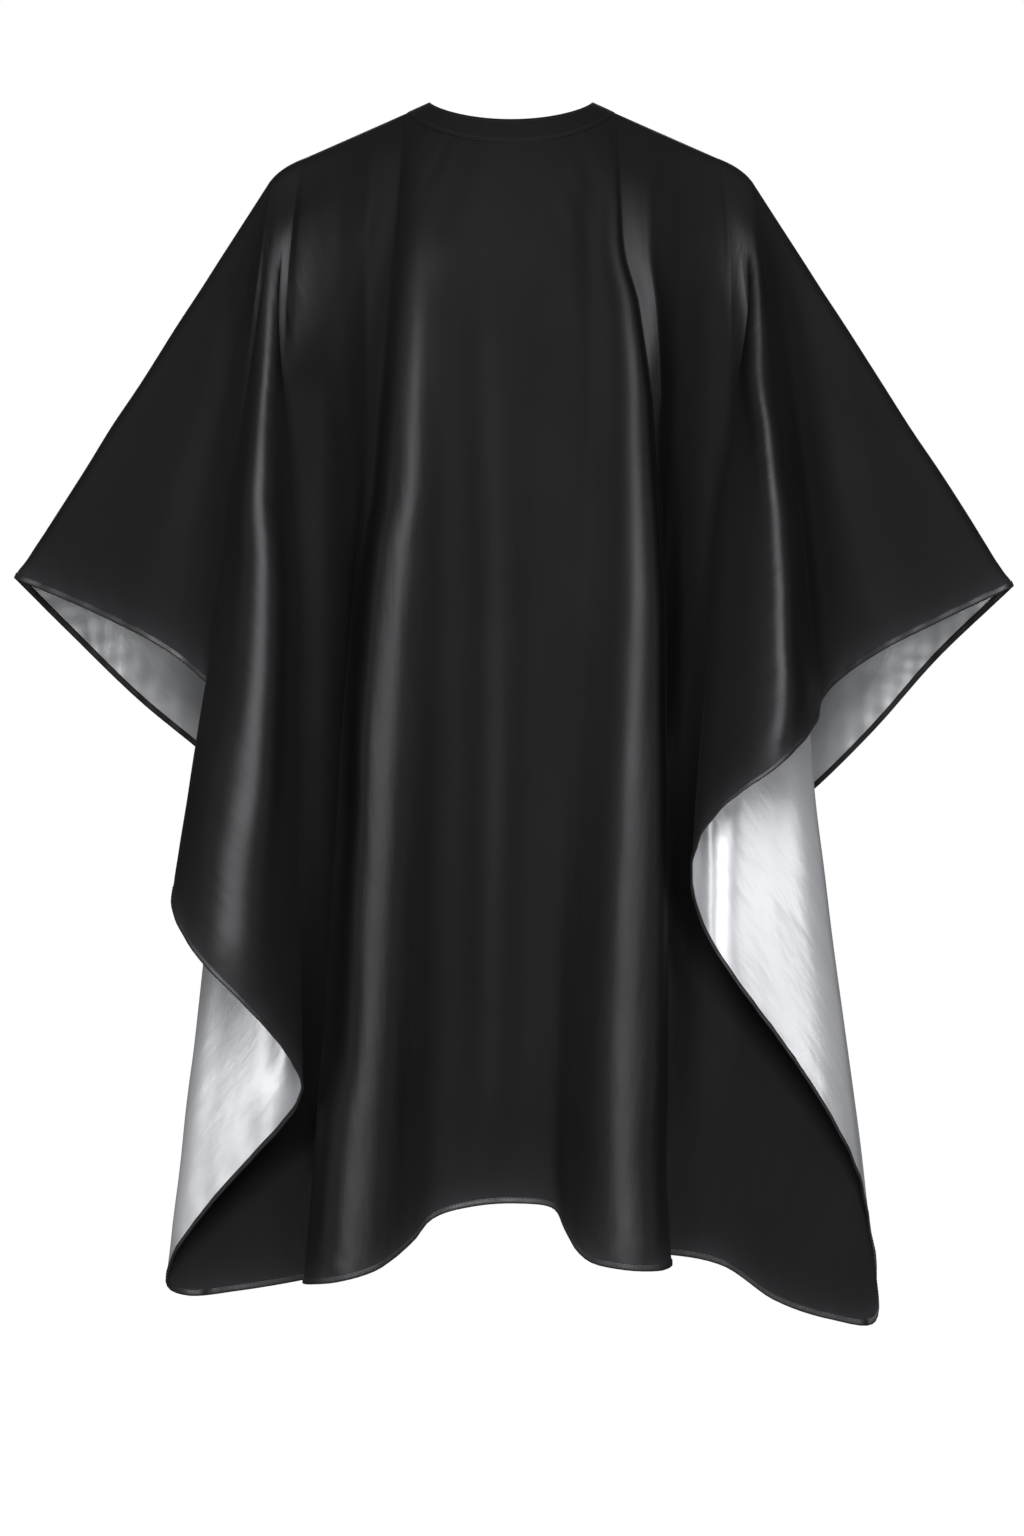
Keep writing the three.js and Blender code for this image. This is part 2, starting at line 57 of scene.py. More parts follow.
# ---- sizes shared with the frame ----
SEAM_HALF_WIDTH, SEAM_HALF_DEPTH = 103, 78
SEAM_SIDE_Z, SEAM_DIP = 2, 35
COLLAR_HALF_WIDTH, COLLAR_HALF_DEPTH = 81, 62
COLLAR_SIDE_Z, COLLAR_DIP = 12, 21
DIP_POWER = 1.4
SHOULDER_INNER = (205, -43)
SHOULDER_PEAK = (230, -52)
SHOULDER_OUTER = (241, -67)
SLIT_SHARE = 0.27
SLIT_HALF_GAP = 1
PLEAT_OPENING = 330
FRONT_DEPTH, BACK_DEPTH = 200, 222
FLAT_HALF_WIDTH, FLAT_FRONT, FLAT_BACK = 725, 1040, 610

# x, y, z of the hem and the place on the top line where each fall line starts
FRONT_HEM = [
    (-496, 0, -463, -3.0), (-412, -40, -499, -2.97), (-340, -74, -537, -2.94),
    (-304, -88, -568, -2.9), (-274, -94, -606, -2.86), (-262, -102, -640, -2.81),
    (-274, -114, -668, -2.77), (-310, -126, -722, -2.72), (-333, -142, -778, -2.66),
    (-329, -162, -802, -2.62), (-306, -182, -839, -2.58), (-268, -190, -878, -2.53),
    (-226, -178, -925, -2.48), (-205, -152, -967, -2.42), (-214, -132, -992, -2.38),
    (-250, -112, -1034, -2.33), (-300, -88, -1090, -2.28), (-335, -70, -1140, -2.23),
    (-341, -58, -1168, -2.19), (-322, -48, -1177, -2.16), (-271, -52, -1172, -2.08),
    (-205, -64, -1160, -1.96), (-146, -78, -1144, -1.8), (-124, -98, -1134, -1.65),
    (-132, -120, -1140, -1.5), (-168, -138, -1153, -1.3), (-203, -158, -1158, -1.12),
    (-197, -180, -1158, -1.0), (-170, -192, -1155, -0.82), (-132, -186, -1144, -0.65),
    (-100, -168, -1121, -0.52), (-76, -152, -1095, -0.42), (-38, -143, -1084, -0.27),
    (8, -142, -1081, -0.03), (42, -154, -1086, 0.3), (56, -176, -1112, 0.56),
    (74, -192, -1134, 0.68), (112, -200, -1143, 0.8), (148, -190, -1144, 0.91),
    (157, -168, -1140, 1.0), (140, -148, -1137, 1.15), (92, -128, -1135, 1.35),
    (70, -106, -1131, 1.58), (90, -88, -1131, 1.78), (140, -78, -1133, 1.96),
    (209, -66, -1146, 2.08), (263, -54, -1182, 2.15), (318, -44, -1201, 2.2),
    (362, -36, -1205, 2.25), (364, -32, -1158, 2.29), (357, -38, -1109, 2.33),
    (346, -52, -1060, 2.38), (318, -70, -1002, 2.43), (272, -86, -932, 2.49),
    (222, -100, -865, 2.54), (180, -114, -804, 2.59), (167, -130, -762, 2.63),
    (176, -150, -726, 2.67), (206, -168, -690, 2.72), (248, -170, -654, 2.77),
    (282, -148, -625, 2.82), (299, -122, -606, 2.86), (307, -100, -582, 2.9),
    (360, -60, -541, 2.94), (430, -28, -505, 2.97), (502, 0, -471, 3.0),
]
BACK_HEM = [
    (-496, 0, -463, -3.0), (-446, 38, -514, -2.97), (-375, 75, -584, -2.93),
    (-314, 98, -635, -2.88), (-262, 122, -682, -2.8), (-244, 142, -712, -2.7),
    (-262, 172, -756, -2.6), (-277, 190, -790, -2.48), (-240, 200, -770, -2.34),
    (-190, 206, -730, -2.1), (-144, 220, -694, -1.7), (-122, 206, -674, -1.3),
    (-96, 190, -662, -1.0), (-60, 196, -654, -0.6), (-24, 206, -649, -0.2), (0, 207, -648, 0.0),
    (30, 206, -650, 0.25), (66, 194, -656, 0.65), (100, 190, -664, 1.0), (126, 208, -678, 1.3),
    (150, 222, -700, 1.7), (196, 206, -736, 2.1), (244, 200, -776, 2.34),
    (280, 190, -796, 2.48), (266, 172, -770, 2.6), (250, 144, -732, 2.7), (268, 122, -708, 2.8),
    (312, 104, -669, 2.87), (368, 80, -612, 2.92), (428, 50, -543, 2.96), (502, 0, -471, 3.0),
]
PLEATED = ((-2.9, -1.0), (2.9, 1.0))
BOW = ((0, 24), (0.5, 34), (1, 62), (1.3, 64), (1.6, 46), (2.1, 24), (2.9, 24), (3, 0))
BOW_PEAK = 140
LEFT_CORNER, RIGHT_CORNER, BACK_CORNER = -2.18, 2.25, 2.48

# Soft folds that stand out of the hang, down each fold: x, z, half width and height
FRONT_FOLDS = [
    ((-232, -70, 30, 5), (-241, -285, 40, 11), (-245, -485, 45, 13), (-266, -700, 50, 13),
     (-271, -850, 50, 9)),
    ((-268, -185, 18, -5), (-275, -275, 22, -8), (-300, -380, 28, -11), (-320, -485, 32, -12),
     (-315, -590, 32, -9)),
    ((-200, -235, 26, -7), (-205, -285, 30, -11), (-195, -485, 32, -14),
     (-190, -700, 36, -14), (-200, -960, 36, -10)),
    ((-111, -30, 14, -4), (-121, -110, 18, -8), (-146, -185, 24, -10), (-166, -275, 26, -9),
     (-180, -380, 26, -5)),
    ((-200, -60, 30, 4), (-195, -130, 34, 6), (-205, -200, 34, 4)),
    ((-85, -110, 30, 3), (-95, -275, 42, 9), (-116, -485, 52, 13), (-134, -700, 54, 15),
     (-154, -980, 54, 16), (-160, -1170, 54, 12)),
    ((-62, -160, 22, -3), (-58, -300, 24, -7), (-56, -485, 26, -9), (-62, -800, 28, -10),
     (-70, -1050, 28, -8)),
    ((-26, -200, 24, 2), (-22, -485, 28, 4), (-20, -700, 30, 5), (-10, -1000, 28, 3)),
    ((34, -160, 22, -4), (38, -300, 26, -8), (36, -485, 28, -9), (26, -800, 30, -9),
     (20, -1050, 30, -7)),
    ((82, -60, 12, -4), (80, -285, 16, -8), (74, -585, 20, -9), (60, -885, 22, -9),
     (52, -1080, 20, -6)),
    ((118, -30, 14, 4), (118, -70, 18, 6), (116, -185, 24, 8), (116, -285, 32, 10),
     (118, -485, 38, 12), (118, -785, 44, 12), (118, -1150, 44, 10)),
    ((150, -60, 16, 3), (152, -110, 20, 5), (150, -185, 24, 6), (138, -260, 26, 4)),
    ((205, -160, 18, -4), (200, -275, 26, -8), (192, -420, 28, -10), (186, -700, 26, -10),
     (184, -960, 24, -6)),
    ((232, -70, 20, 5), (236, -110, 24, 8), (239, -185, 30, 12), (252, -275, 34, 15),
     (262, -380, 36, 17), (268, -485, 38, 17), (266, -640, 38, 13)),
    ((285, -150, 18, -5), (299, -200, 20, -9), (306, -285, 24, -12), (320, -380, 28, -14),
     (345, -500, 34, -13)),
]
BACK_FOLDS = [
    ((-150, -80, 34, 6), (-175, -300, 38, 12), (-180, -720, 40, 12)),
    ((-85, -90, 24, -5), (-95, -300, 30, -9), (-92, -660, 30, -9)),
    ((-20, -200, 28, 3), (-24, -420, 30, 6), (-25, -640, 30, 6)),
    ((60, -90, 22, -4), (66, -300, 28, -9), (66, -650, 28, -8)),
    ((140, -80, 28, 5), (148, -300, 34, 11), (150, -690, 36, 11)),
    ((235, -80, 26, 5), (250, -300, 36, 12), (262, -780, 40, 11)),
    ((-235, -80, 26, 5), (-250, -300, 34, 10), (-262, -780, 38, 10)),
]
FRONT_BELLY = 12  # how far the whole front swells forward half way down
BELLY_DROP, BELLY_POWER = 1150, 2.5  # the swelling's foot, and how it gathers half way down
BELLY_EDGE, BELLY_FADE = 330, 160  # where it ends to each side, and over what width
# Where the front's folds stand a little to one side of the plain hang: x, z, half width and shift
FRONT_SHIFTS = [
    ((110, -150, 40, 8), (120, -285, 46, 22), (124, -485, 48, 26), (134, -750, 48, 16),
     (146, -1000, 48, 5)),
    ((236, -275, 40, 6), (242, -400, 44, 14), (244, -560, 44, 18), (250, -680, 44, 8)),
    ((-112, -400, 40, -6), (-120, -560, 44, -10), (-128, -700, 44, -8), (-138, -850, 44, -3)),
    ((-256, -400, 36, 4), (-258, -560, 40, 8), (-262, -700, 40, 6)),
]
FOLD_ROUNDNESS = 2.6  # above 2, a fold's top is broader and its sides are steeper
FOLD_TOP_FADE, FOLD_FOOT_FADE = 70, 90  # the lengths over which a fold grows and dies away
FOLD_TOP_LEAD, FOLD_FOOT_LEAD = 0.35, 0.65  # the shares of those that lie beyond its ends
FREE_BELOW = 60  # folds have their full height this far from the shoulders and the arms
CREST_HEIGHT = 11  # a fold this high is polished all the way
ROUND_RADIUS = 11  # how roundly the cloth turns over the shoulders and down the arms
ROUND_FADE, ROUND_ONSET = 4, 0.4
BOW_FADE = 3  # the bow dies away over the lowest third
LOOSE_LAG = 0.1  # wrinkles start a little below the place where the pleats open
PLEAT_NEAR, PLEAT_BLEND = 0.5, 0.35
WEAR_REACH = 14  # how far from the hem the cloth is rubbed
COLUMNS, ROW_COUNT, FINE_STEPS = 430, 104, 12001
TURN_WEIGHT, SHARPEST_TURN = 16, 0.2  # columns crowd where the hem turns
TIP_WEIGHT, TIP_REACH = 4, 9  # and by the tips of the arms
TOP_CROWD, TOP_CROWD_SHARE = 4, 0.015  # rows crowd by the top line
HEM_CROWD, HEM_CROWD_SHARE = 2.2, 0.03  # and by the hem
HEM_TURN_ROWS = 3  # rows between the hem's edge and the point that gives its inward direction
SHEET_OFFSET = 0.3  # from the middle of the cloth to each face


# ---- small helpers ----
def smooth_step(t):
    x = np.clip(t, 0, 1)
    return x * x * (3 - 2 * x)


def mix(a, b, t):
    return a + (b - a) * t


def unit(v):
    return v / np.maximum(np.linalg.norm(v, axis=-1, keepdims=True), 1e-12)


def set_inputs(node, values):
    for name, value in values.items():
        node.inputs[name].default_value = value


def arc_length(line):
    """The distance along a line to each of its points."""
    return np.concatenate([[0], np.cumsum(np.linalg.norm(np.diff(line, axis=0), axis=1))])


def circle(radius, height, segments):
    turns = np.arange(segments) * 2 * math.pi / segments
    return [(radius * math.cos(q), radius * math.sin(q), height) for q in turns]


def material_of(name):
    material = bpy.data.materials.new(name)
    material.use_nodes = True
    nodes = material.node_tree.nodes
    shader = nodes["Principled BSDF"]
    return material, nodes, material.node_tree.links, shader


def new_piece(name, points, faces, material, body, slot, uv=None, shades=()):
    """A smooth-shaded mesh from points in millimetres, riding on a body."""
    mesh = bpy.data.meshes.new(name)
    mesh.from_pydata((np.asarray(points) * MM).tolist(), [], [list(map(int, f)) for f in faces])
    mesh.polygons.foreach_set("use_smooth", np.ones(len(mesh.polygons), bool))
    corners = np.empty(len(mesh.loops), int)
    mesh.loops.foreach_get("vertex_index", corners)
    if uv is not None:
        layer = mesh.uv_layers.new(name="cloth")
        layer.data.foreach_set("uv", (np.asarray(uv)[corners] * MM).astype(np.float32).ravel())
    for shade, values in shades:
        attribute = mesh.attributes.new(shade, "FLOAT", "POINT")
        attribute.data.foreach_set("value", values.astype(np.float32))
    mesh.update()
    piece = bpy.data.objects.new(name, mesh)
    scene.collection.objects.link(piece)
    mesh.materials.append(material)
    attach(piece, body)
    return piece


# ---- the neck and the top line ----
def neck_point(angle, share):
    angle = np.asarray(angle, float)
    dip = np.abs(np.cos(angle)) ** DIP_POWER
    x = mix(SEAM_HALF_WIDTH, COLLAR_HALF_WIDTH, share) * np.sin(angle)
    y = -mix(SEAM_HALF_DEPTH, COLLAR_HALF_DEPTH, share) * np.cos(angle)
    z = mix(SEAM_SIDE_Z - SEAM_DIP * dip, COLLAR_SIDE_Z - COLLAR_DIP * dip, share)
    return np.stack([x, y, z + 0 * x], axis=-1)


def shoulder_point(place):
    side, reach = np.sign(place), np.abs(place)
    near = np.clip(reach - 1, 0, 1)
    far = np.clip(reach - 2, 0, 1)
    seam_side = (SEAM_HALF_WIDTH, SEAM_SIDE_Z)
    straight = [mix(seam_side[k], SHOULDER_INNER[k], near) for k in (0, 1)]
    curved = [
        (1 - far) ** 2 * inner + 2 * far * (1 - far) * peak + far**2 * end
        for inner, peak, end in zip(SHOULDER_INNER, SHOULDER_PEAK, SHOULDER_OUTER)
    ]
    x, z = [np.where(reach <= 2, straight[k], curved[k]) for k in (0, 1)]
    return np.stack([side * x, 0 * x, z], axis=-1)


def top_point(place, front):
    angle = place * math.pi / 2
    ring = neck_point(angle if front < 0 else math.pi - angle, 0)
    return np.where(np.abs(place)[:, None] >= 1, shoulder_point(place), ring)


def hem_line(points, depth):
    """A smooth line through the hem's control points, looked up by place."""
    table = np.array(points, float)
    xyz = table[:, :3] * [1, depth / np.abs(table[:, 1]).max(), 1]
    places = table[:, 3]
    ends = np.vstack([2 * xyz[0] - xyz[1], xyz, 2 * xyz[-1] - xyz[-2]])

    def at(place):
        place = np.asarray(place, float)
        i = np.clip(np.searchsorted(places, place - 1e-9), 1, len(places) - 1) - 1
        t = ((place - places[i]) / (places[i + 1] - places[i]))[:, None]
        p0, p1, p2, p3 = [ends[i + k] for k in range(4)]
        spans = ((p0, p1), (p1, p2), (p2, p3))
        d0, d1, d2 = [np.linalg.norm(b - a, axis=1)[:, None] ** 0.5 for a, b in spans]
        m1 = ((p1 - p0) / d0 - (p2 - p0) / (d0 + d1) + (p2 - p1) / d1) * d1
        m2 = ((p2 - p1) / d1 - (p3 - p1) / (d1 + d2) + (p3 - p2) / d2) * d1
        c2 = -3 * p1 + 3 * p2 - 2 * m1 - m2
        c3 = 2 * p1 - 2 * p2 + m1 + m2
        return p1 + t * (m1 + t * (c2 + t * c3))

    return at


front_hem = hem_line(FRONT_HEM, FRONT_DEPTH)
back_hem = hem_line(BACK_HEM, BACK_DEPTH)


def fall_vector(place, front):
    hem = front_hem if front < 0 else back_hem
    return hem(place) - top_point(place, front)


def fold_relief(x, z, folds, roundness=2):
    """The sum at x, z of soft bumps along each fold, whose last column is the bump's height."""
    relief = np.zeros_like(x)
    for fold in folds:
        px, pz, width, height = np.array(fold, float).T
        centre, spread, rise = [np.interp(-z, -pz, values) for values in (px, width, height)]
        grown = smooth_step((pz[0] - z) / FOLD_TOP_FADE + FOLD_TOP_LEAD)
        ends = grown * smooth_step((z - pz[-1]) / FOLD_FOOT_FADE + FOLD_FOOT_LEAD)
        relief += rise * np.exp(-(np.abs((x - centre) / spread) ** roundness)) * ends
    return relief


def cloth_points(places, shares, front):
    """The middle of the cloth, as rows of shares by columns of places."""
    fall = fall_vector(places, front)
    length = np.linalg.norm(fall, axis=1)
    plain = fall.copy()
    pleated = np.zeros(len(places), bool)
    for start, end in PLEATED:
        inside = (places - start) * (places - end) < 0
        first, last = [unit(fall_vector(np.array([p]), front)) for p in (start, end)]
        t = ((places - start) / (end - start))[:, None]
        plain = np.where(inside[:, None], unit(mix(first, last, t)) * length[:, None], plain)
        pleated |= inside
    down = shares[:, None] * length
    opened = np.where(pleated, smooth_step(down / PLEAT_OPENING), 1)[..., None]
    points = top_point(places, front) + mix(plain, fall, opened) * shares[:, None, None]
    bow_at, bow_height = np.array(BOW, float).T
    bow = np.interp(np.abs(places), bow_at, bow_height)
    bow = bow * (down / BOW_PEAK) * np.exp(1 - down / BOW_PEAK)
    points[..., 1] += front * bow * smooth_step((1 - shares) * BOW_FADE)[:, None]
    return points, down


def edge_distance(points, down):
    """Distance of each point to the shoulder ridge or the arm's fold, whichever is nearer."""
    left = np.linalg.norm(points - points[:, :1], axis=2)
    right = np.linalg.norm(points - points[:, -1:], axis=2)
    return np.minimum(down, np.minimum(left, right))


def draped(places, shares, front):
    """The cloth with its rounded shoulders and soft folds."""
    points, down = cloth_points(places, shares, front)
    t = edge_distance(points, down) / ROUND_RADIUS
    swell = np.sqrt(np.clip(1 - (1 - np.minimum(t, 1)) ** 2, 0, 1)) * np.exp(-t / ROUND_FADE)
    beyond_neck = smooth_step((np.abs(places) - 1) / ROUND_ONSET)
    points[..., 1] += front * ROUND_RADIUS * swell * beyond_neck
    x, z = points[..., 0], points[..., 2]
    folds = fold_relief(x, z, FRONT_FOLDS if front < 0 else BACK_FOLDS, FOLD_ROUNDNESS)
    relief = folds
    if front < 0:
        belly = np.sin(np.clip(-z / BELLY_DROP, 0, 1) * math.pi) ** BELLY_POWER
        relief = folds + FRONT_BELLY * belly * smooth_step((BELLY_EDGE - np.abs(x)) / BELLY_FADE)
    free = smooth_step(down / FREE_BELOW) * smooth_step(edge_distance(points, down) / FREE_BELOW)
    crest = smooth_step(folds / CREST_HEIGHT) * free
    points[..., 1] += front * relief * free
    if front < 0:
        points[..., 0] += fold_relief(x, z, FRONT_SHIFTS) * free
    return points, down, crest


# ---- the grid of fall lines ----
def spread_by(weight, low, high, count, fixed):
    """count + 1 values, closer where weight is large, with the nearest moved onto fixed ones."""
    fine = np.linspace(low, high, FINE_STEPS)
    total = np.concatenate([[0], np.cumsum(weight(0.5 * (fine[1:] + fine[:-1])))])
    values = np.interp(np.linspace(0, total[-1], count + 1), total, fine)
    for value in fixed:
        values[np.abs(values - value).argmin()] = value
    return values


def hem_weight(places):
    total = 0
    for hem in (front_hem, back_hem):
        at = hem(places)
        step = np.gradient(at, axis=0)
        ds = np.linalg.norm(step, axis=1) + 1e-9
        turn = np.linalg.norm(np.gradient(unit(step), axis=0), axis=1) / ds
        total = total + ds * (1 + TURN_WEIGHT * np.minimum(turn, SHARPEST_TURN))
        for tip in (at[0], at[-1]):
            near = np.exp(-np.linalg.norm(at - tip, axis=1) / TIP_REACH)
            total = total + TIP_WEIGHT * ds * near
    return total


def row_weight(share):
    top = TOP_CROWD * np.exp(-share / TOP_CROWD_SHARE)
    return 1 + top + HEM_CROWD * np.exp(-(1 - share) / HEM_CROWD_SHARE)


PLACES = spread_by(hem_weight, -3, 3, COLUMNS, (-3, -1, 0, 1, 3))
SHARES = spread_by(row_weight, 0, 1, ROW_COUNT, (0, SLIT_SHARE, 1))
CENTRE = int(np.abs(PLACES).argmin())


def flat_hem(places, front):
    """Where each fall line ends on the flat rectangle that the cape is cut from."""
    hem = front_hem if front < 0 else back_hem
    arc = arc_length(hem(places))
    length = -FLAT_FRONT if front < 0 else FLAT_BACK
    left, right = (LEFT_CORNER, RIGHT_CORNER) if front < 0 else (-BACK_CORNER, BACK_CORNER)
    marks = np.interp((-3, left, 0, right, 3), places, arc)
    half = FLAT_HALF_WIDTH
    x = np.interp(arc, marks, (-half, -half, 0, half, half))
    y = np.interp(arc, marks, (0, length, length, length, 0))
    return np.stack([x, y], axis=1)


def flat_points(places, shares, front):
    top = top_point(places, front)
    top_flat = np.stack([top[:, 0], top[:, 1]], axis=1)
    return top_flat + (flat_hem(places, front) - top_flat) * shares[:, None, None]


def grid_faces(rows, columns, start, flip):
    r, c = np.meshgrid(np.arange(rows - 1), np.arange(columns - 1), indexing="ij")
    a = (start + r * columns + c).ravel()
    quads = np.stack([a, a + columns, a + columns + 1, a + 1], axis=1)
    return quads[:, ::-1] if flip else quads


def build_surface():
    """Front and back as one welded surface.

    Gives its points and quads, each point's flat coordinates, distance to the hem, looseness
    and crest, and the welded number of each grid point.
    """
    parts = [(-1, PLACES), (1, PLACES[: CENTRE + 1]), (1, PLACES[CENTRE:])]
    points, flats, hems, loose, crests, quads = [], [], [], [], [], []
    start = 0
    for front, places in parts:
        whole, down, crest = draped(PLACES, SHARES, front)
        keep = np.isin(PLACES, places)
        at = whole[:, keep].copy()
        to_hem = (down[-1] - down)[:, keep]
        if front > 0:
            side = -1 if places[0] < 0 else 1
            split = (SHARES < SLIT_SHARE - 1e-9)[:, None] & (places == 0)[None]
            at[..., 0] += np.where(split, side * SLIT_HALF_GAP, 0)
        points.append(at.reshape(-1, 3))
        flats.append(flat_points(PLACES, SHARES, front)[:, keep].reshape(-1, 2))
        hems.append(to_hem.ravel())
        crests.append(crest[:, keep].ravel())
        opened = smooth_step(down / PLEAT_OPENING - LOOSE_LAG)
        pleated = smooth_step((np.abs(PLACES) - PLEAT_NEAR) / PLEAT_BLEND)
        loose.append(mix(1, opened, pleated)[:, keep].ravel())
        quads.append(grid_faces(len(SHARES), len(places), start, front > 0))
        start += at.shape[0] * at.shape[1]
    points, flats, hems, loose, crests, quads = [
        np.concatenate(x) for x in (points, flats, hems, loose, crests, quads)
    ]
    keys = np.round(points, 3) + 0.0  # so that -0 and 0 weld
    _, first, same = np.unique(keys, axis=0, return_index=True, return_inverse=True)
    same = same.reshape(-1)
    points, flats, hems, loose, crests = [x[first] for x in (points, flats, hems, loose, crests)]
    return points, same[quads], flats, hems, loose, crests, same


def surface_normals(points, quads):
    a, b, c, d = [points[quads[:, k]] for k in range(4)]
    facing = np.cross(c - a, d - b)
    normals = np.zeros_like(points)
    for k in range(4):
        np.add.at(normals, quads[:, k], facing)
    return unit(normals)


mid, quads, flat, to_hem, looseness, crests, welded = build_surface()
across = surface_normals(mid, quads)

PUCKER_HEIGHT, PUCKER_REACH, PUCKER_PITCHES = 0.8, 22, (34, 37)
GATHER_HEIGHT, GATHER_COUNT, GATHER_RADIUS, GATHER_REACH = 0.9, 26, 130, 45
SLACK_HEIGHT, SLACK_ACROSS, SLACK_DOWN = 0.7, 23, 97


def wrinkles():
    """Puckers by the hems, gathers below the neck and slack all over, along the normals."""
    u, v = flat.T
    warp = 14 * np.sin(u / 61 + 0.7) + 11 * np.sin(v / 53 + 1.9) + 7 * np.sin((u + v) / 29)
    waves = [np.sin((w + warp) * 2 * math.pi / p) for w, p in zip((u, v), PUCKER_PITCHES)]
    pucker = PUCKER_HEIGHT * np.exp(-to_hem / PUCKER_REACH) * (waves[0] * waves[1])
    angle = np.arctan2(v, u)
    by_neck = np.exp(-np.abs(np.hypot(u, v) - GATHER_RADIUS) / GATHER_REACH)
    gather = GATHER_HEIGHT * np.sin(angle * GATHER_COUNT + 2.2 * np.sin(angle * 5)) * by_neck
    slack = SLACK_HEIGHT * np.sin((u + 2 * warp) / SLACK_ACROSS)
    slack = slack * np.sin((v + warp) / SLACK_DOWN + 1.3)
    return (pucker + gather + slack) * looseness


mid = mid + across * wrinkles()[:, None]
across = surface_normals(mid, quads)


# ---- materials: their lengths are in metres ----
SATIN_WEAVE = {"weave": 0.0009, "weave_depth": 0.00002}
WEAVE_STRENGTH, WEAVE_DISTORTION = 0.35, 0.6
BAND_SCALE = 0.314  # a wave texture's bands are one metre apart at this scale
CREPE_SCALE, CREPE_SHARE = 7.0, 0.12  # the fine crepe against the long ripples
DULL_FLAT = 1.85  # how much rougher the satin is between the folds than on their crests


def add_bump(nodes, links, height, below, strength, distance):
    """A bump from a height, laid over the normal below it."""
    bump = nodes.new("ShaderNodeBump")
    set_inputs(bump, {"Strength": strength, "Distance": distance})
    links.new(height, bump.inputs["Height"])
    if below is not None:
        links.new(below, bump.inputs["Normal"])
    return bump.outputs["Normal"]


def add_noise(nodes, links, vector, scale, detail):
    noise = nodes.new("ShaderNodeTexNoise")
    set_inputs(noise, {"Scale": scale, "Detail": detail})
    links.new(vector, noise.inputs["Vector"])
    return noise.outputs["Fac"]


def attribute_of(nodes, name):
    attribute = nodes.new("ShaderNodeAttribute")
    attribute.attribute_name = name
    return attribute.outputs["Fac"]


def multiplied(nodes, links, a, b):
    product = nodes.new("ShaderNodeMath")
    product.operation = "MULTIPLY"
    links.new(a, product.inputs[0])
    links.new(b, product.inputs[1])
    return product.outputs[0]


def ramp(nodes, links, value, stops):
    """The colour of a value between stops of (position, colour)."""
    made = nodes.new("ShaderNodeValToRGB")
    elements = made.color_ramp.elements
    for i, (position, colour) in enumerate(stops):
        element = elements[i] if i < 2 else elements.new(position)
        element.position = position
        element.color = (*colour, 1)
    links.new(value, made.inputs["Fac"])
    return made.outputs["Color"]


def grey_stops(pair):
    return [(0.3, (pair[0],) * 3), (0.7, (pair[1],) * 3)]


def cloth_nodes(nodes, links, shader, weave, weave_depth, ripple_depth, ripple=5.0):
    """Weave, long soft ripples and a fine crepe, all as bump from the flat cloth's coordinates."""
    flat_place = nodes.new("ShaderNodeTexCoord").outputs["UV"]
    normal = None
    for axis in ("X", "Y"):
        thread = nodes.new("ShaderNodeTexWave")
        thread.bands_direction = axis
        set_inputs(thread, {
            "Scale": BAND_SCALE / weave, "Distortion": WEAVE_DISTORTION, "Detail": 1.0,
        })
        links.new(flat_place, thread.inputs["Vector"])
        weft = thread.outputs["Fac"]
        normal = add_bump(nodes, links, weft, normal, WEAVE_STRENGTH, weave_depth)
    stretch = nodes.new("ShaderNodeMapping")
    set_inputs(stretch, {"Scale": (ripple * 4, ripple, 1)})
    links.new(flat_place, stretch.inputs["Vector"])
    for scale, depth in ((1.0, ripple_depth), (CREPE_SCALE, ripple_depth * CREPE_SHARE)):
        noise = add_noise(nodes, links, stretch.outputs["Vector"], scale, 2.0)
        normal = add_bump(nodes, links, noise, normal, 1.0, depth)
    links.new(normal, shader.inputs["Normal"])
    return flat_place


def varied(nodes, links, place, shader, stops, roughness, scale=7.0, wear_colour=None, dull=1.0):
    """Drifting colour and roughness, with rubbed edges and duller cloth between the folds."""
    noise = add_noise(nodes, links, place, scale, 4.0)
    colour = ramp(nodes, links, noise, stops)
    rough = ramp(nodes, links, noise, grey_stops(roughness))
    if dull > 1:
        polish = nodes.new("ShaderNodeMapRange")
        set_inputs(polish, {"To Min": dull, "To Max": 1.0})
        links.new(attribute_of(nodes, "crest"), polish.inputs["Value"])
        rough = multiplied(nodes, links, polish.outputs["Result"], rough)
    links.new(rough, shader.inputs["Roughness"])
    if wear_colour:
        rubbed = nodes.new("ShaderNodeMix")
        rubbed.data_type = "RGBA"
        set_inputs(rubbed, {"B": (*wear_colour, 1)})
        patches = multiplied(nodes, links, attribute_of(nodes, "wear"), noise)
        links.new(patches, rubbed.inputs["Factor"])
        links.new(colour, rubbed.inputs["A"])
        colour = rubbed.outputs["Result"]
    links.new(colour, shader.inputs["Base Color"])


def black_satin():
    material, nodes, links, shader = material_of("black_satin")
    place = cloth_nodes(nodes, links, shader, **SATIN_WEAVE, ripple_depth=0.0016)
    stops = [(0.25, (0.0012, 0.0012, 0.0014)), (0.75, (0.0022, 0.0022, 0.0026))]
    varied(
        nodes, links, place, shader, stops, (0.42, 0.46),
        wear_colour=(0.03, 0.03, 0.032), dull=DULL_FLAT,
    )
    set_inputs(shader, {"Specular IOR Level": 0.21, "Sheen Weight": 0.008, "Sheen Roughness": 0.4})
    return material


def silver_satin():
    material, nodes, links, shader = material_of("silver_satin")
    place = cloth_nodes(nodes, links, shader, **SATIN_WEAVE, ripple_depth=0.0022)
    stops = [(0.25, (0.64, 0.65, 0.66)), (0.75, (0.78, 0.785, 0.79))]
    varied(nodes, links, place, shader, stops, (0.3, 0.4), wear_colour=(0.5, 0.51, 0.52))
    set_inputs(shader, {"Metallic": 0.7})
    return material


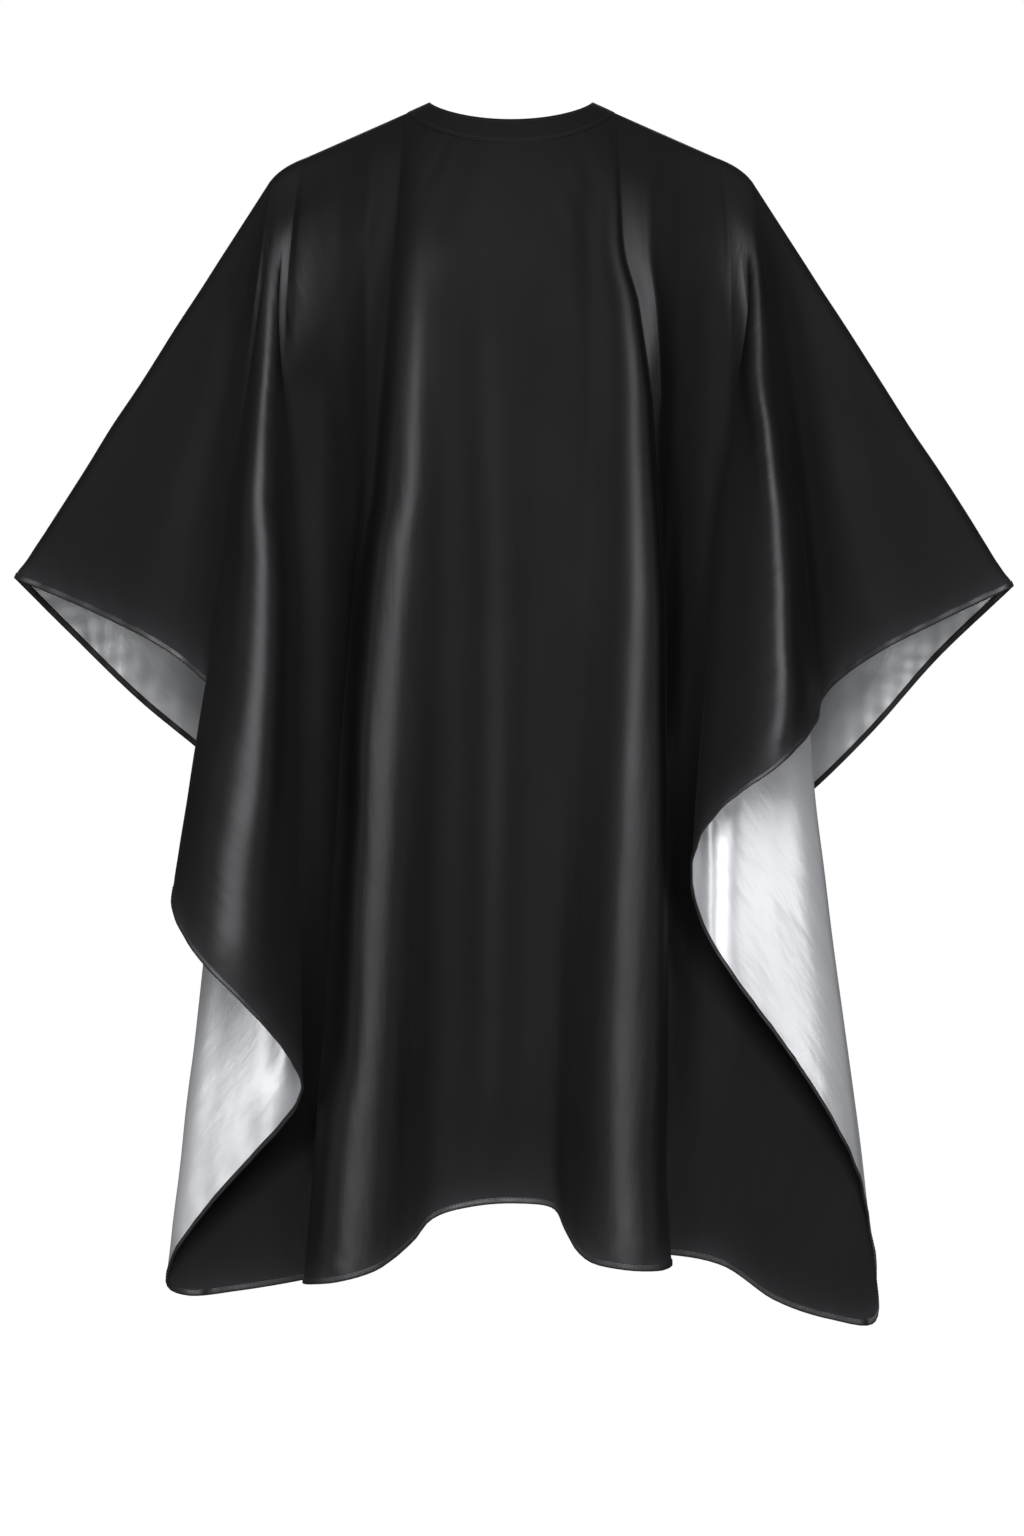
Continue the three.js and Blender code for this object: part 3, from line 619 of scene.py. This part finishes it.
def plain_cloth(name, darker, lighter, roughness, weave=0.0008):
    material, nodes, links, shader = material_of(name)
    place = cloth_nodes(
        nodes, links, shader, weave, weave_depth=0.00006, ripple_depth=0.0004, ripple=20.0
    )
    varied(nodes, links, place, shader, [(0.3, darker), (0.7, lighter)], roughness, scale=40.0)
    set_inputs(shader, {"Specular IOR Level": 0.5})
    return material


def black_resin():
    material, nodes, links, shader = material_of("black_resin")
    place = nodes.new("ShaderNodeTexCoord").outputs["Object"]
    noise = add_noise(nodes, links, place, 900.0, 3.0)
    links.new(ramp(nodes, links, noise, grey_stops((0.22, 0.36))), shader.inputs["Roughness"])
    stops = [(0.3, (0.006, 0.006, 0.007)), (0.7, (0.011, 0.011, 0.012))]
    links.new(ramp(nodes, links, noise, stops), shader.inputs["Base Color"])
    links.new(add_bump(nodes, links, noise, None, 1.0, 0.00002), shader.inputs["Normal"])
    return material


SATIN = black_satin()
SILVER = silver_satin()
TAPE = plain_cloth("black_tape", (0.004, 0.004, 0.0045), (0.009, 0.009, 0.01), (0.42, 0.55))
THREAD = plain_cloth(
    "black_thread", (0.008, 0.008, 0.009), (0.02, 0.02, 0.022), (0.45, 0.6), 0.0004
)
FELT = plain_cloth(
    "interlining_felt", (0.62, 0.61, 0.58), (0.74, 0.73, 0.7), (0.85, 0.95), 0.0012
)
RESIN = black_resin()

# ---- the two faces of the cloth ----
shades = [("wear", np.exp(-to_hem / WEAR_REACH)), ("crest", crests)]
outer = new_piece(
    "cape_outer_satin", mid + across * SHEET_OFFSET, quads, SATIN, CAPE_BODY, "black_satin",
    flat, shades,
)
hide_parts("outer_cloth")
lining = new_piece(
    "cape_silver_face", mid - across * SHEET_OFFSET, quads[:, ::-1], SILVER, CAPE_BODY,
    "silver_satin", flat, shades,
)
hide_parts("silver_lining")


# ---- strips swept along an edge ----
# Along a stitch: the place, the thickness and the lift, as shares of its length and radius
STITCH_STATIONS = (
    (-0.5, 0.0, -0.5), (-0.32, 0.85, 0.35), (0, 1.0, 0.6), (0.32, 0.85, 0.35), (0.5, 0.0, -0.5),
)


def tube_faces(ring_count, count, flip=False):
    """The quads between neighbouring rings of a closed tube, and a cap on each end."""
    faces = []
    for i in range(ring_count - 1):
        for j in range(count):
            k = (j + 1) % count
            a, b = i * count + j, i * count + k
            c, d = b + count, a + count
            faces.append((a, d, c, b) if flip else (a, b, c, d))
    last = (ring_count - 1) * count
    caps = [tuple(range(count))[::-1], tuple(range(last, last + count))]
    return faces + [cap[::-1] if flip else cap for cap in caps]


def swept(origins, inward, outward, profile):
    """A closed profile of (inward, outward) steps carried along a line of origins."""
    origins, inward, outward = [np.asarray(x, float) for x in (origins, inward, outward)]
    profile = np.asarray(profile, float)
    steps_in, steps_out = profile[None, :, :1], profile[None, :, 1:2]
    rings = origins[:, None] + inward[:, None] * steps_in + outward[:, None] * steps_out
    arc = arc_length(origins)
    around = np.cumsum(np.abs(profile).sum(axis=1))
    uv = np.stack([np.repeat(arc, len(profile)), np.tile(around, len(arc))], axis=1)
    return rings.reshape(-1, 3), tube_faces(len(origins), len(profile)), uv


def resampled(line, pitch):
    """Points and directions every pitch along a line."""
    arc = arc_length(line)
    at = np.arange(pitch / 2, arc[-1], pitch)
    before, after = [
        np.stack([np.interp(at + step, arc, line[:, i]) for i in range(3)], axis=1)
        for step in (-1, 1)
    ]
    return 0.5 * (before + after), unit(after - before), at, arc


def stitches(line, outward, pitch=3.4, length=2.5, radius=0.27):
    """A row of raised lockstitches along a line that lies on the cloth."""
    centres, along, at, arc = resampled(line, pitch)
    up = unit(np.stack([np.interp(at, arc, outward[:, i]) for i in range(3)], axis=1))
    side = unit(np.cross(along, up))
    quarter_turns = np.arange(4) * math.pi / 2
    points, faces = [], []
    for centre, a, n, s in zip(centres, along, up, side):
        start = len(points)
        for t, thick, lift in STITCH_STATIONS:
            base = centre + a * t * length + n * lift * radius
            if thick == 0:
                points.append(base)
                continue
            for q in quarter_turns:
                points.append(base + thick * radius * (s * math.cos(q) + n * math.sin(q)))
        rings = [start + 1, start + 5, start + 9]
        tip = start + 13
        for k in range(4):
            m = (k + 1) % 4
            faces.append((start, rings[0] + m, rings[0] + k))
            for low, high in zip(rings, rings[1:]):
                faces.append((low + k, low + m, high + m, high + k))
            faces.append((rings[2] + k, rings[2] + m, tip))
    return np.array(points), faces


def joined(sets):
    points, faces, start = [], [], 0
    for p, f in sets:
        points.append(p)
        faces += [tuple(start + i for i in face) for face in f]
        start += len(p)
    return np.concatenate(points), faces


def add_thread(name, rows, body=CAPE_BODY):
    return new_piece(name, *joined(rows), THREAD, body, "black_tape")


# ---- turned hems and their stitching ----
ROWS_N, COLS_N = len(SHARES), len(PLACES)
FRONT_SIZE = ROWS_N * COLS_N
LEFT_SIZE = ROWS_N * (CENTRE + 1)


def edge_vertices(row):
    """Vertex numbers along a row, for the front and for the back, from -3 to 3."""
    front = welded[row * COLS_N + np.arange(COLS_N)]
    left = welded[FRONT_SIZE + row * (CENTRE + 1) + np.arange(CENTRE + 1)]
    right_columns = COLS_N - CENTRE
    right = welded[FRONT_SIZE + LEFT_SIZE + row * right_columns + np.arange(right_columns)]
    return front, np.concatenate([left[:-1], right])


# Each side's pair of rows: the hem's edge, and the row that gives its inward direction
front_rows, back_rows = zip(edge_vertices(ROWS_N - 1), edge_vertices(ROWS_N - 1 - HEM_TURN_ROWS))


def between(row_pair, low, high):
    """The pair's vertex numbers from one place to another."""
    chosen = (PLACES >= low) & (PLACES <= high)
    return [row[chosen] for row in row_pair]


def squared(inward, outward):
    """The inward directions, made square to the outward ones."""
    return unit(inward - outward * (inward * outward).sum(axis=1, keepdims=True))


def add_trim(node, path, profile, stitch_rows):
    """A swept strip that replaces a node, with rows of stitches at (inward, outward) steps."""
    points, faces, uv = swept(*path, profile)
    strip = new_piece("turned_" + node, points, faces, TAPE, CAPE_BODY, "black_tape", uv)
    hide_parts(node)
    origins, inward, outward = path
    rows = [
        stitches(origins + inward * step_in + outward * step_out, outward * np.sign(step_out))
        for step_in, step_out in stitch_rows
    ]
    add_thread("stitching_" + node, rows)


HEM_PROFILE = (
    (5.6, -0.35), (5.9, -0.75), (5.5, -1.05), (3.0, -1.25), (1.0, -1.2), (-0.2, -0.9),
    (-0.8, -0.2), (-0.6, 0.5), (0.2, 0.95), (1.6, 1.05), (4.0, 1.0), (5.5, 0.85), (5.8, 0.5),
    (3.0, 0.3), (3.0, -0.3),
)
HEM_STITCH_ROWS = ((4.4, 1.05), (4.4, -1.05))
# Places where the side hems meet the front hem and the back hem, and how far those lap on
FRONT_LEFT, FRONT_RIGHT, BACK_SIDE = -2.12, 2.235, 2.44
HEM_LAP, RIGHT_LAP = 0.02, 0.01
left_front, left_back = between(front_rows, -3, FRONT_LEFT), between(back_rows, -3, -BACK_SIDE)
right_front, right_back = between(front_rows, FRONT_RIGHT, 3), between(back_rows, BACK_SIDE, 3)
HEM_PATHS = {
    "front_hem": between(front_rows, FRONT_LEFT - HEM_LAP, FRONT_RIGHT + RIGHT_LAP),
    "back_hem": between(back_rows, -BACK_SIDE - HEM_LAP, BACK_SIDE + HEM_LAP),
    "left_side_hem": [np.concatenate([a[::-1], b[1:]]) for a, b in zip(left_front, left_back)],
    "right_side_hem": [
        np.concatenate([a, b[::-1][1:]]) for a, b in zip(right_front, right_back)
    ],
}
for node, (edge, above) in HEM_PATHS.items():
    inward = squared(mid[above] - mid[edge], across[edge])
    add_trim(node, (mid[edge], inward, across[edge]), HEM_PROFILE, HEM_STITCH_ROWS)

# ---- back slit: facings and bar tack ----
SLIT_MARGIN = 0.008  # the share of the fall between the facings' ends and the slit's
SLIT_ROWS = np.flatnonzero(SHARES < SLIT_SHARE - SLIT_MARGIN)[1:]
FACING_PROFILE = (
    (11.8, -0.4), (12.1, -0.75), (11.6, -1.1), (6.0, -1.25), (1.0, -1.15), (0.0, -0.7),
    (-0.3, 0.0), (0.0, 0.5), (0.9, 0.75), (1.8, 0.5), (1.9, -0.3), (6.0, -0.4),
)
FACING_STITCH_ROWS = ((10.6, -1.1), (9.8, 0.35))
left_slit = welded[FRONT_SIZE + SLIT_ROWS * (CENTRE + 1) + CENTRE]
right_slit = welded[FRONT_SIZE + LEFT_SIZE + SLIT_ROWS * (COLS_N - CENTRE)]
for node, side, edge in (
    ("slit_facing_left", -1.0, left_slit), ("slit_facing_right", 1.0, right_slit)
):
    inward = squared(np.tile([side, 0, 0], (len(edge), 1)), across[edge])
    add_trim(node, (mid[edge], inward, across[edge]), FACING_PROFILE, FACING_STITCH_ROWS)

TACK_THREADS, TACK_THREAD_RADIUS, TACK_MARGIN, TACK_LIFT = 15, 0.32, 0.3, 0.1
BED_STEPS, BED_STEP, BED_MARGIN, BED_SINK = 13, 0.55, 0.2, 0.15
BED_HALF_WIDTH, BED_HALF_DEPTH = 0.9, 0.28
tack_low, tack_high = [np.array(c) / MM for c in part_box("slit_bar_tack")]
_, tack_y, tack_z = 0.5 * (tack_low + tack_high)
tack_rows = []
for i in range(TACK_THREADS):
    x = mix(tack_low[0] + TACK_MARGIN, tack_high[0] - TACK_MARGIN, i / (TACK_THREADS - 1))
    height = 1.0 + 0.25 * math.sin(i * 2.3)
    line = np.array(
        [[x, tack_y + TACK_LIFT, tack_z + s * height] for s in (-1, -0.5, 0, 0.5, 1)]
    )
    facing_out = np.tile([0, 1.0, 0], (5, 1))
    tack_rows.append(stitches(line, facing_out, 2 * height, 2 * height, TACK_THREAD_RADIUS))
bed_x = [tack_low[0] + BED_MARGIN + BED_STEP * i for i in range(BED_STEPS)]
bed = np.array([[x, tack_y - BED_SINK, tack_z] for x in bed_x])
bed_profile = [
    (BED_HALF_WIDTH * math.cos(q), BED_HALF_DEPTH * math.sin(q))
    for q in np.arange(10) * math.pi / 5
]
bed_up, bed_out = [np.tile(v, (BED_STEPS, 1)) for v in ([0, 0, 1.0], [0, 1.0, 0])]
tack_rows.append(swept(bed, bed_up, bed_out, bed_profile)[:2])
tack = add_thread("bar_tack_threads", tack_rows)
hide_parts("slit_bar_tack")

# ---- neckband, tab and snaps: the same levels as the frame's closure ----
BAND_SEGMENTS = 44
BAND_OUTER_TOP, BAND_INNER_FOOT = 0.9, -0.75
LAYER_GAP = 0.3
SEAM_LAP = 0.3  # how far the band's outer and inner plies lap the neck seam
TAB_ROOT_X, TAB_RISE, TAB_END_X, TAB_INSET = 7.5, 7, -54, 0.06
STUD_X = (-10, -26, -42, -58)
SNAPPED_X = (-26, -42)
SNAP_RADIUS, FLANGE_THICKNESS = 4.8, 0.6
STUD_BALL_RADIUS, STUD_BALL_HEIGHT = 1.6, 1.4
SOCKET_HEIGHT, SOCKET_WEB, BALL_CLEARANCE = 1.8, 0.3, 0.6
CAP_HEIGHT, PRONG_RADIUS = 1.1, 0.7
HINGE_GAP = 0.5
PLY_CROWN, PLY_TUCK = 0.16, 0.012
BAND_PUCKER, PUCKER_STEP = 0.1, 1.15
BAND_STEPS, BAND_UV_STEP = 340, 1.5
ANGLE_STEP = 1e-3
MEAN_HALF_WIDTH = 0.5 * (SEAM_HALF_WIDTH + COLLAR_HALF_WIDTH)


def band_axes(angle, share):
    along = neck_point(angle + ANGLE_STEP, share) - neck_point(angle - ANGLE_STEP, share)
    up = neck_point(angle, 1) - neck_point(angle, 0)
    return unit(up), unit(np.cross(along, up))


def nape_angle(x):
    return math.pi - np.arcsin(np.asarray(x, float) / MEAN_HALF_WIDTH)


def band_sag(x):
    """How far the curved band falls back from a flat snap that stands on it."""
    angle = nape_angle(x)
    centre = neck_point(angle, 0.5)
    normal = band_axes(angle, 0.5)[1]
    per_radian = np.linalg.norm(neck_point(angle + ANGLE_STEP, 0.5) - centre) * 1e3
    facet = per_radian * (1 - math.cos(math.pi / BAND_SEGMENTS))
    drops = [
        (centre - neck_point(angle + s * SNAP_RADIUS / per_radian, 0.5)) @ normal
        for s in (-1, 1)
    ]
    return facet + max(drops)


SAG = max(band_sag(x) for x in STUD_X)
STUD_FOOT = BAND_OUTER_TOP + LAYER_GAP
FLANGE_TOP = STUD_FOOT + FLANGE_THICKNESS
STUD_TOP = FLANGE_TOP + STUD_BALL_HEIGHT
POST_TOP = BAND_INNER_FOOT - LAYER_GAP - SAG
SOCKET_FOOT = FLANGE_TOP + LAYER_GAP
SOCKET_TOP = SOCKET_FOOT + SOCKET_HEIGHT
TAB_LEVEL = SOCKET_TOP + LAYER_GAP + SAG - BAND_INNER_FOOT
CAP_FOOT = TAB_LEVEL + BAND_OUTER_TOP + LAYER_GAP
BAND_HEIGHT = float(np.linalg.norm(neck_point(0.0, 1) - neck_point(0.0, 0)))
BAND_FOOT = -SEAM_LAP / BAND_HEIGHT


def rounded_ply(low_share, high_share, foot, top, count=7):
    """A flattened loop in (share of the band's height, level), with turned ends."""
    shares = np.linspace(low_share, high_share, count)
    crown = PLY_CROWN * np.sin(np.linspace(0, math.pi, count))
    upper = [(s, top + c) for s, c in zip(shares, crown)]
    lower = [(s, foot - 0.5 * c) for s, c in zip(shares[::-1], crown)]
    middle = 0.5 * (foot + top)
    return [(low_share - PLY_TUCK, middle), *upper, (high_share + PLY_TUCK, middle), *lower]


def band_strip(angles, profile, levels=None, pucker=0.0):
    """A profile of (share, level) carried round the neck."""
    levels = np.zeros(len(angles)) if levels is None else levels
    rings = []
    for i, angle in enumerate(angles):
        for share, level in profile:
            normal = band_axes(angle, share)[1]
            wave = pucker * math.sin(i * PUCKER_STEP) * math.sin(math.pi * min(max(share, 0), 1))
            rings.append(neck_point(angle, share) + normal * (levels[i] + level + wave))
    count = len(profile)
    arc = np.repeat(np.arange(len(angles)) * BAND_UV_STEP, count)
    uv = np.stack([arc, np.tile([s * BAND_HEIGHT for s, _ in profile], len(angles))], axis=1)
    return np.array(rings), tube_faces(len(angles), count, flip=True), uv


def band_line(angles, share, level, levels=None):
    """A line on the band and its outward directions, for stitching."""
    levels = np.zeros(len(angles)) if levels is None else levels
    outward = np.array([band_axes(a, share)[1] for a in angles])
    line = np.array([neck_point(a, share) for a in angles]) + outward * (levels + level)[:, None]
    return line, outward


LEFT_END = float(nape_angle(-SLIT_HALF_GAP)) - 2 * math.pi
RIGHT_END = float(nape_angle(TAB_ROOT_X + HINGE_GAP))
band_angles = np.linspace(LEFT_END, RIGHT_END, BAND_STEPS)
tab_rise_x = np.linspace(TAB_ROOT_X, TAB_ROOT_X - TAB_RISE, 12)
tab_x = np.concatenate([tab_rise_x, np.linspace(0.2, TAB_END_X, 60)[1:]])
tab_angles = nape_angle(tab_x)
tab_levels = TAB_LEVEL * smooth_step((TAB_ROOT_X - tab_x) / TAB_RISE)

# Each ply's material and slot, its shares of the band's height, its foot, top and pucker
BAND_PLIES = {
    "outer": (SATIN, "black_satin", BAND_FOOT, 1.0, 0.1, BAND_OUTER_TOP, BAND_PUCKER),
    "interlining": (FELT, "interlining_felt", 0.12, 0.94, -0.2, 0.05, 0),
    "inner": (SATIN, "black_satin", BAND_FOOT, 1.0, BAND_INNER_FOOT, -0.25, 0),
}
PLY_INSET = TAB_INSET + 0.01
for ply, (material, slot, low, high, foot, top, pucker) in BAND_PLIES.items():
    profile = rounded_ply(low, high, foot, top)
    points, faces, uv = band_strip(band_angles, profile, pucker=pucker)
    band = new_piece("stand_band_" + ply, points, faces, material, CAPE_BODY, slot, uv)
    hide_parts("neckband_" + ply)
    profile = rounded_ply(PLY_INSET, 1 - PLY_INSET, foot, top)
    points, faces, uv = band_strip(tab_angles, profile, tab_levels)
    tab = new_piece("closure_tab_" + ply, points, faces, material, TAB_BODY, slot, uv)
    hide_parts("tab_" + ply)

# Rows of stitching, as shares of the band's height and levels on it
BAND_STITCH_ROWS, BAND_INNER_ROW = ((0.13, 1.0), (0.9, 0.98)), (0.9, -0.82)
TAB_STITCH_SHARES, TAB_STITCH_LEVEL, TAB_END_INSET = (0.17, 0.83), 0.98, 3
rows = [stitches(*band_line(band_angles, *row)) for row in BAND_STITCH_ROWS]
line, outward = band_line(band_angles, *BAND_INNER_ROW)
rows.append(stitches(line, -outward))
add_thread("stitching_neckband", rows)
flat_angles, flat_levels = tab_angles[tab_x < 0], tab_levels[tab_x < 0]
rows = [
    stitches(*band_line(flat_angles, share, TAB_STITCH_LEVEL, flat_levels))
    for share in TAB_STITCH_SHARES
]
end_shares = np.linspace(*TAB_STITCH_SHARES, 12)
end_angle = float(nape_angle(TAB_END_X + TAB_END_INSET))
end_out = np.array([band_axes(end_angle, s)[1] for s in end_shares])
end_line = np.array([neck_point(end_angle, s) for s in end_shares])
rows.append(stitches(end_line + end_out * (TAB_LEVEL + TAB_STITCH_LEVEL), end_out))
add_thread("stitching_closure_tab", rows, TAB_BODY)


def turned(profile, segments=40):
    """A lathe solid about +Z from (radius, height) points."""
    points, faces, rings = [], [], []
    for radius, height in profile:
        if radius < 1e-6:
            rings.append([len(points)])
            points.append((0, 0, height))
            continue
        rings.append(list(range(len(points), len(points) + segments)))
        points += circle(radius, height, segments)
    pairs = list(zip(rings, rings[1:]))
    if profile[0][0] > 1e-6 and profile[-1][0] > 1e-6:
        pairs.append((rings[-1], rings[0]))
    for a, b in pairs:
        for k in range(segments):
            m = (k + 1) % segments
            corners = [a[k % len(a)], a[m % len(a)], b[m % len(b)], b[k % len(b)]]
            distinct = list(dict.fromkeys(corners))
            if len(distinct) > 2:
                faces.append(tuple(distinct))
    return np.array(points), faces


def stand_on_band(points, x):
    """Points about +Z, moved to stand on the band at x behind the neck."""
    angle = float(nape_angle(x))
    up, normal = band_axes(angle, 0.5)
    side = unit(np.cross(up, normal))
    return neck_point(angle, 0.5) + points @ np.array([side, up, normal])


def softened(profile, cut=0.12):
    """The profile with its corners broken."""
    out = []
    for i, (r, h) in enumerate(profile):
        if r < 1e-6 or i in (0, len(profile) - 1):
            out.append((r, h))
            continue
        here = np.array([r, h])
        for other in (profile[i - 1], profile[i + 1]):
            toward = np.array(other) - here
            share = min(0.35, cut / max(np.linalg.norm(toward), 1e-6))
            out.append(tuple(here + toward * share))
    return out


PRONG_HOLE = PRONG_RADIUS + 0.35
BALL_NECK = STUD_BALL_RADIUS - 0.2
STUD_PROFILE = [
    (0, STUD_TOP - 0.45), (PRONG_HOLE, STUD_TOP - 0.5), (PRONG_HOLE, STUD_FOOT),
    (SNAP_RADIUS, STUD_FOOT), (SNAP_RADIUS, FLANGE_TOP), (SNAP_RADIUS - 0.6, FLANGE_TOP),
    (SNAP_RADIUS - 0.9, FLANGE_TOP - 0.15), (BALL_NECK + 0.5, FLANGE_TOP - 0.15),
    (BALL_NECK, FLANGE_TOP + 0.1), (STUD_BALL_RADIUS, mix(FLANGE_TOP, STUD_TOP, 0.6)),
    (BALL_NECK, STUD_TOP), (0, STUD_TOP),
]
POST_FOOT = POST_TOP - FLANGE_THICKNESS - 0.1
POST_PROFILE = [
    (0, POST_FOOT + 0.15), (1.6, POST_FOOT), (SNAP_RADIUS - 0.6, POST_FOOT),
    (SNAP_RADIUS, POST_FOOT + 0.4), (SNAP_RADIUS, POST_TOP), (PRONG_RADIUS, POST_TOP),
    (PRONG_RADIUS, STUD_TOP - 0.9), (0, STUD_TOP - 0.85),
]
CAVITY, WEB_FOOT = STUD_BALL_RADIUS + BALL_CLEARANCE, SOCKET_TOP - SOCKET_WEB
SOCKET_PROFILE = [
    (CAVITY, SOCKET_FOOT), (CAVITY + 0.3, SOCKET_FOOT - 0.05), (CAVITY + 0.7, SOCKET_FOOT + 0.2),
    (SNAP_RADIUS - 0.7, SOCKET_FOOT + 0.2), (SNAP_RADIUS, SOCKET_FOOT + 0.05),
    (SNAP_RADIUS, SOCKET_TOP), (PRONG_HOLE, SOCKET_TOP), (PRONG_HOLE, WEB_FOOT),
    (CAVITY, WEB_FOOT),
]
# The cap's domed and dished face, as shares of the snap's radius and of the cap's height
CAP_FACE = ((1, 0.35), (0.9, 0.6), (0.7, 0.7), (0.66, 0.62), (0.4, 0.85), (0, 0.95))
CAP_PROFILE = [
    (0, WEB_FOOT), (PRONG_RADIUS, WEB_FOOT), (PRONG_RADIUS, CAP_FOOT), (SNAP_RADIUS, CAP_FOOT),
    *((SNAP_RADIUS * r, CAP_FOOT + h * CAP_HEIGHT) for r, h in CAP_FACE),
]


def add_snap(kind, number, x, profile, body):
    points, faces = turned(softened(profile))
    points = stand_on_band(points, x)
    piece = new_piece(f"{kind}_turned_{number}", points, faces, RESIN, body, "black_resin")
    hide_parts(f"snap_{kind}_{number}")


for i, x in enumerate(STUD_X):
    add_snap("stud", i + 1, x, STUD_PROFILE, CAPE_BODY)
    add_snap("post", i + 1, x, POST_PROFILE, CAPE_BODY)
for i, x in enumerate(SNAPPED_X):
    add_snap("socket", i + 1, x, SOCKET_PROFILE, TAB_BODY)
    add_snap("cap", i + 1, x, CAP_PROFILE, TAB_BODY)

# ---- camera ----
camera_data = bpy.data.cameras.new("camera")
camera_data.lens = camera_data.sensor_width * CAMERA_DISTANCE / FRAME_HEIGHT
camera_data.clip_end = 100
camera = bpy.data.objects.new("camera", camera_data)
camera.location = EYE
camera.rotation_euler = (math.pi / 2, 0, 0)
scene.collection.objects.link(camera)
scene.camera = camera


# ---- studio ----
def area_light(name, place, target, size, power, colour=(1, 1, 1)):
    data = bpy.data.lights.new(name, "AREA")
    data.shape = "RECTANGLE"
    data.size, data.size_y = size
    data.energy = power
    data.color = colour
    lamp = bpy.data.objects.new(name, data)
    lamp.location = place
    aim = np.array(target, float) - np.array(place, float)
    tilt = math.atan2(math.hypot(aim[0], aim[1]), -aim[2])
    lamp.rotation_euler = (tilt, 0, math.atan2(-aim[0], aim[1]))
    lamp.visible_camera = False
    scene.collection.objects.link(lamp)


area_light("key", (0.1, -6.0, 2.0), (0, 0, -0.6), (4.4, 1.0), 590, (0.97, 0.96, 1))
area_light("bounce", (0.0, -4.2, -1.3), (0, 0, -0.6), (4.0, 0.3), 36)
area_light("right_side", (5.0, -3.2, 0.2), (0, 0, -0.6), (1.2, 3.0), 28)
area_light("left_side", (-5.0, -3.0, 0.4), (0, 0, -0.6), (1.0, 3.0), 32)
area_light("back", (0.0, 6.0, 1.5), (0, 0, -0.5), (2.5, 2.5), 120)

world = bpy.data.worlds.new("studio")
scene.world = world
world.use_nodes = True
tree = world.node_tree
tree.nodes.clear()
seen = tree.nodes.new("ShaderNodeLightPath")
bright = tree.nodes.new("ShaderNodeBackground")
dim = tree.nodes.new("ShaderNodeBackground")
set_inputs(bright, {"Strength": 1.0, "Color": (1, 1, 1, 1)})
set_inputs(dim, {"Strength": 0.13, "Color": (0.95, 0.97, 1, 1)})
choose = tree.nodes.new("ShaderNodeMixShader")
output = tree.nodes.new("ShaderNodeOutputWorld")
tree.links.new(seen.outputs["Is Camera Ray"], choose.inputs["Fac"])
tree.links.new(dim.outputs["Background"], choose.inputs[1])
tree.links.new(bright.outputs["Background"], choose.inputs[2])
tree.links.new(choose.outputs["Shader"], output.inputs["Surface"])


FLOOR_RINGS, FLOOR_SEGMENTS = (0.6, 1.2, 1.8, 2.4), 72


def pale_floor():
    """A round pale floor that fades out at its rim."""
    segments = FLOOR_SEGMENTS
    points, faces = [(0, 0, 0)], []
    for radius in FLOOR_RINGS:
        points += circle(radius, 0, segments)
    for k in range(segments):
        m = (k + 1) % segments
        faces.append((0, 1 + k, 1 + m))
        for ring in range(len(FLOOR_RINGS) - 1):
            a, b = 1 + ring * segments, 1 + (ring + 1) * segments
            faces.append((a + k, b + k, b + m, a + m))
    mesh = bpy.data.meshes.new("floor")
    mesh.from_pydata(points, [], faces)
    material, nodes, links, shader = material_of("pale_floor")
    set_inputs(shader, {
        "Base Color": (0.9, 0.9, 0.9, 1), "Roughness": 0.9, "Emission Color": (1, 1, 1, 1),
        "Emission Strength": 0.95,
    })
    coords = nodes.new("ShaderNodeTexCoord")
    spot = nodes.new("ShaderNodeTexGradient")
    spot.gradient_type = "SPHERICAL"
    scaled = nodes.new("ShaderNodeMapping")
    set_inputs(scaled, {"Scale": (1 / FLOOR_RINGS[-1],) * 3})
    links.new(coords.outputs["Object"], scaled.inputs["Vector"])
    links.new(scaled.outputs["Vector"], spot.inputs["Vector"])
    fade = ramp(nodes, links, spot.outputs["Fac"], [(0.0, (0, 0, 0)), (0.45, (1, 1, 1))])
    links.new(fade, shader.inputs["Alpha"])
    mesh.materials.append(material)
    floor = bpy.data.objects.new("floor", mesh)
    floor.location = (0, 0, FLOOR_Z)
    floor.visible_glossy = False
    floor.visible_diffuse = False
    scene.collection.objects.link(floor)


pale_floor()
scene.view_settings.view_transform = "Standard"
scene.view_settings.look = "None"
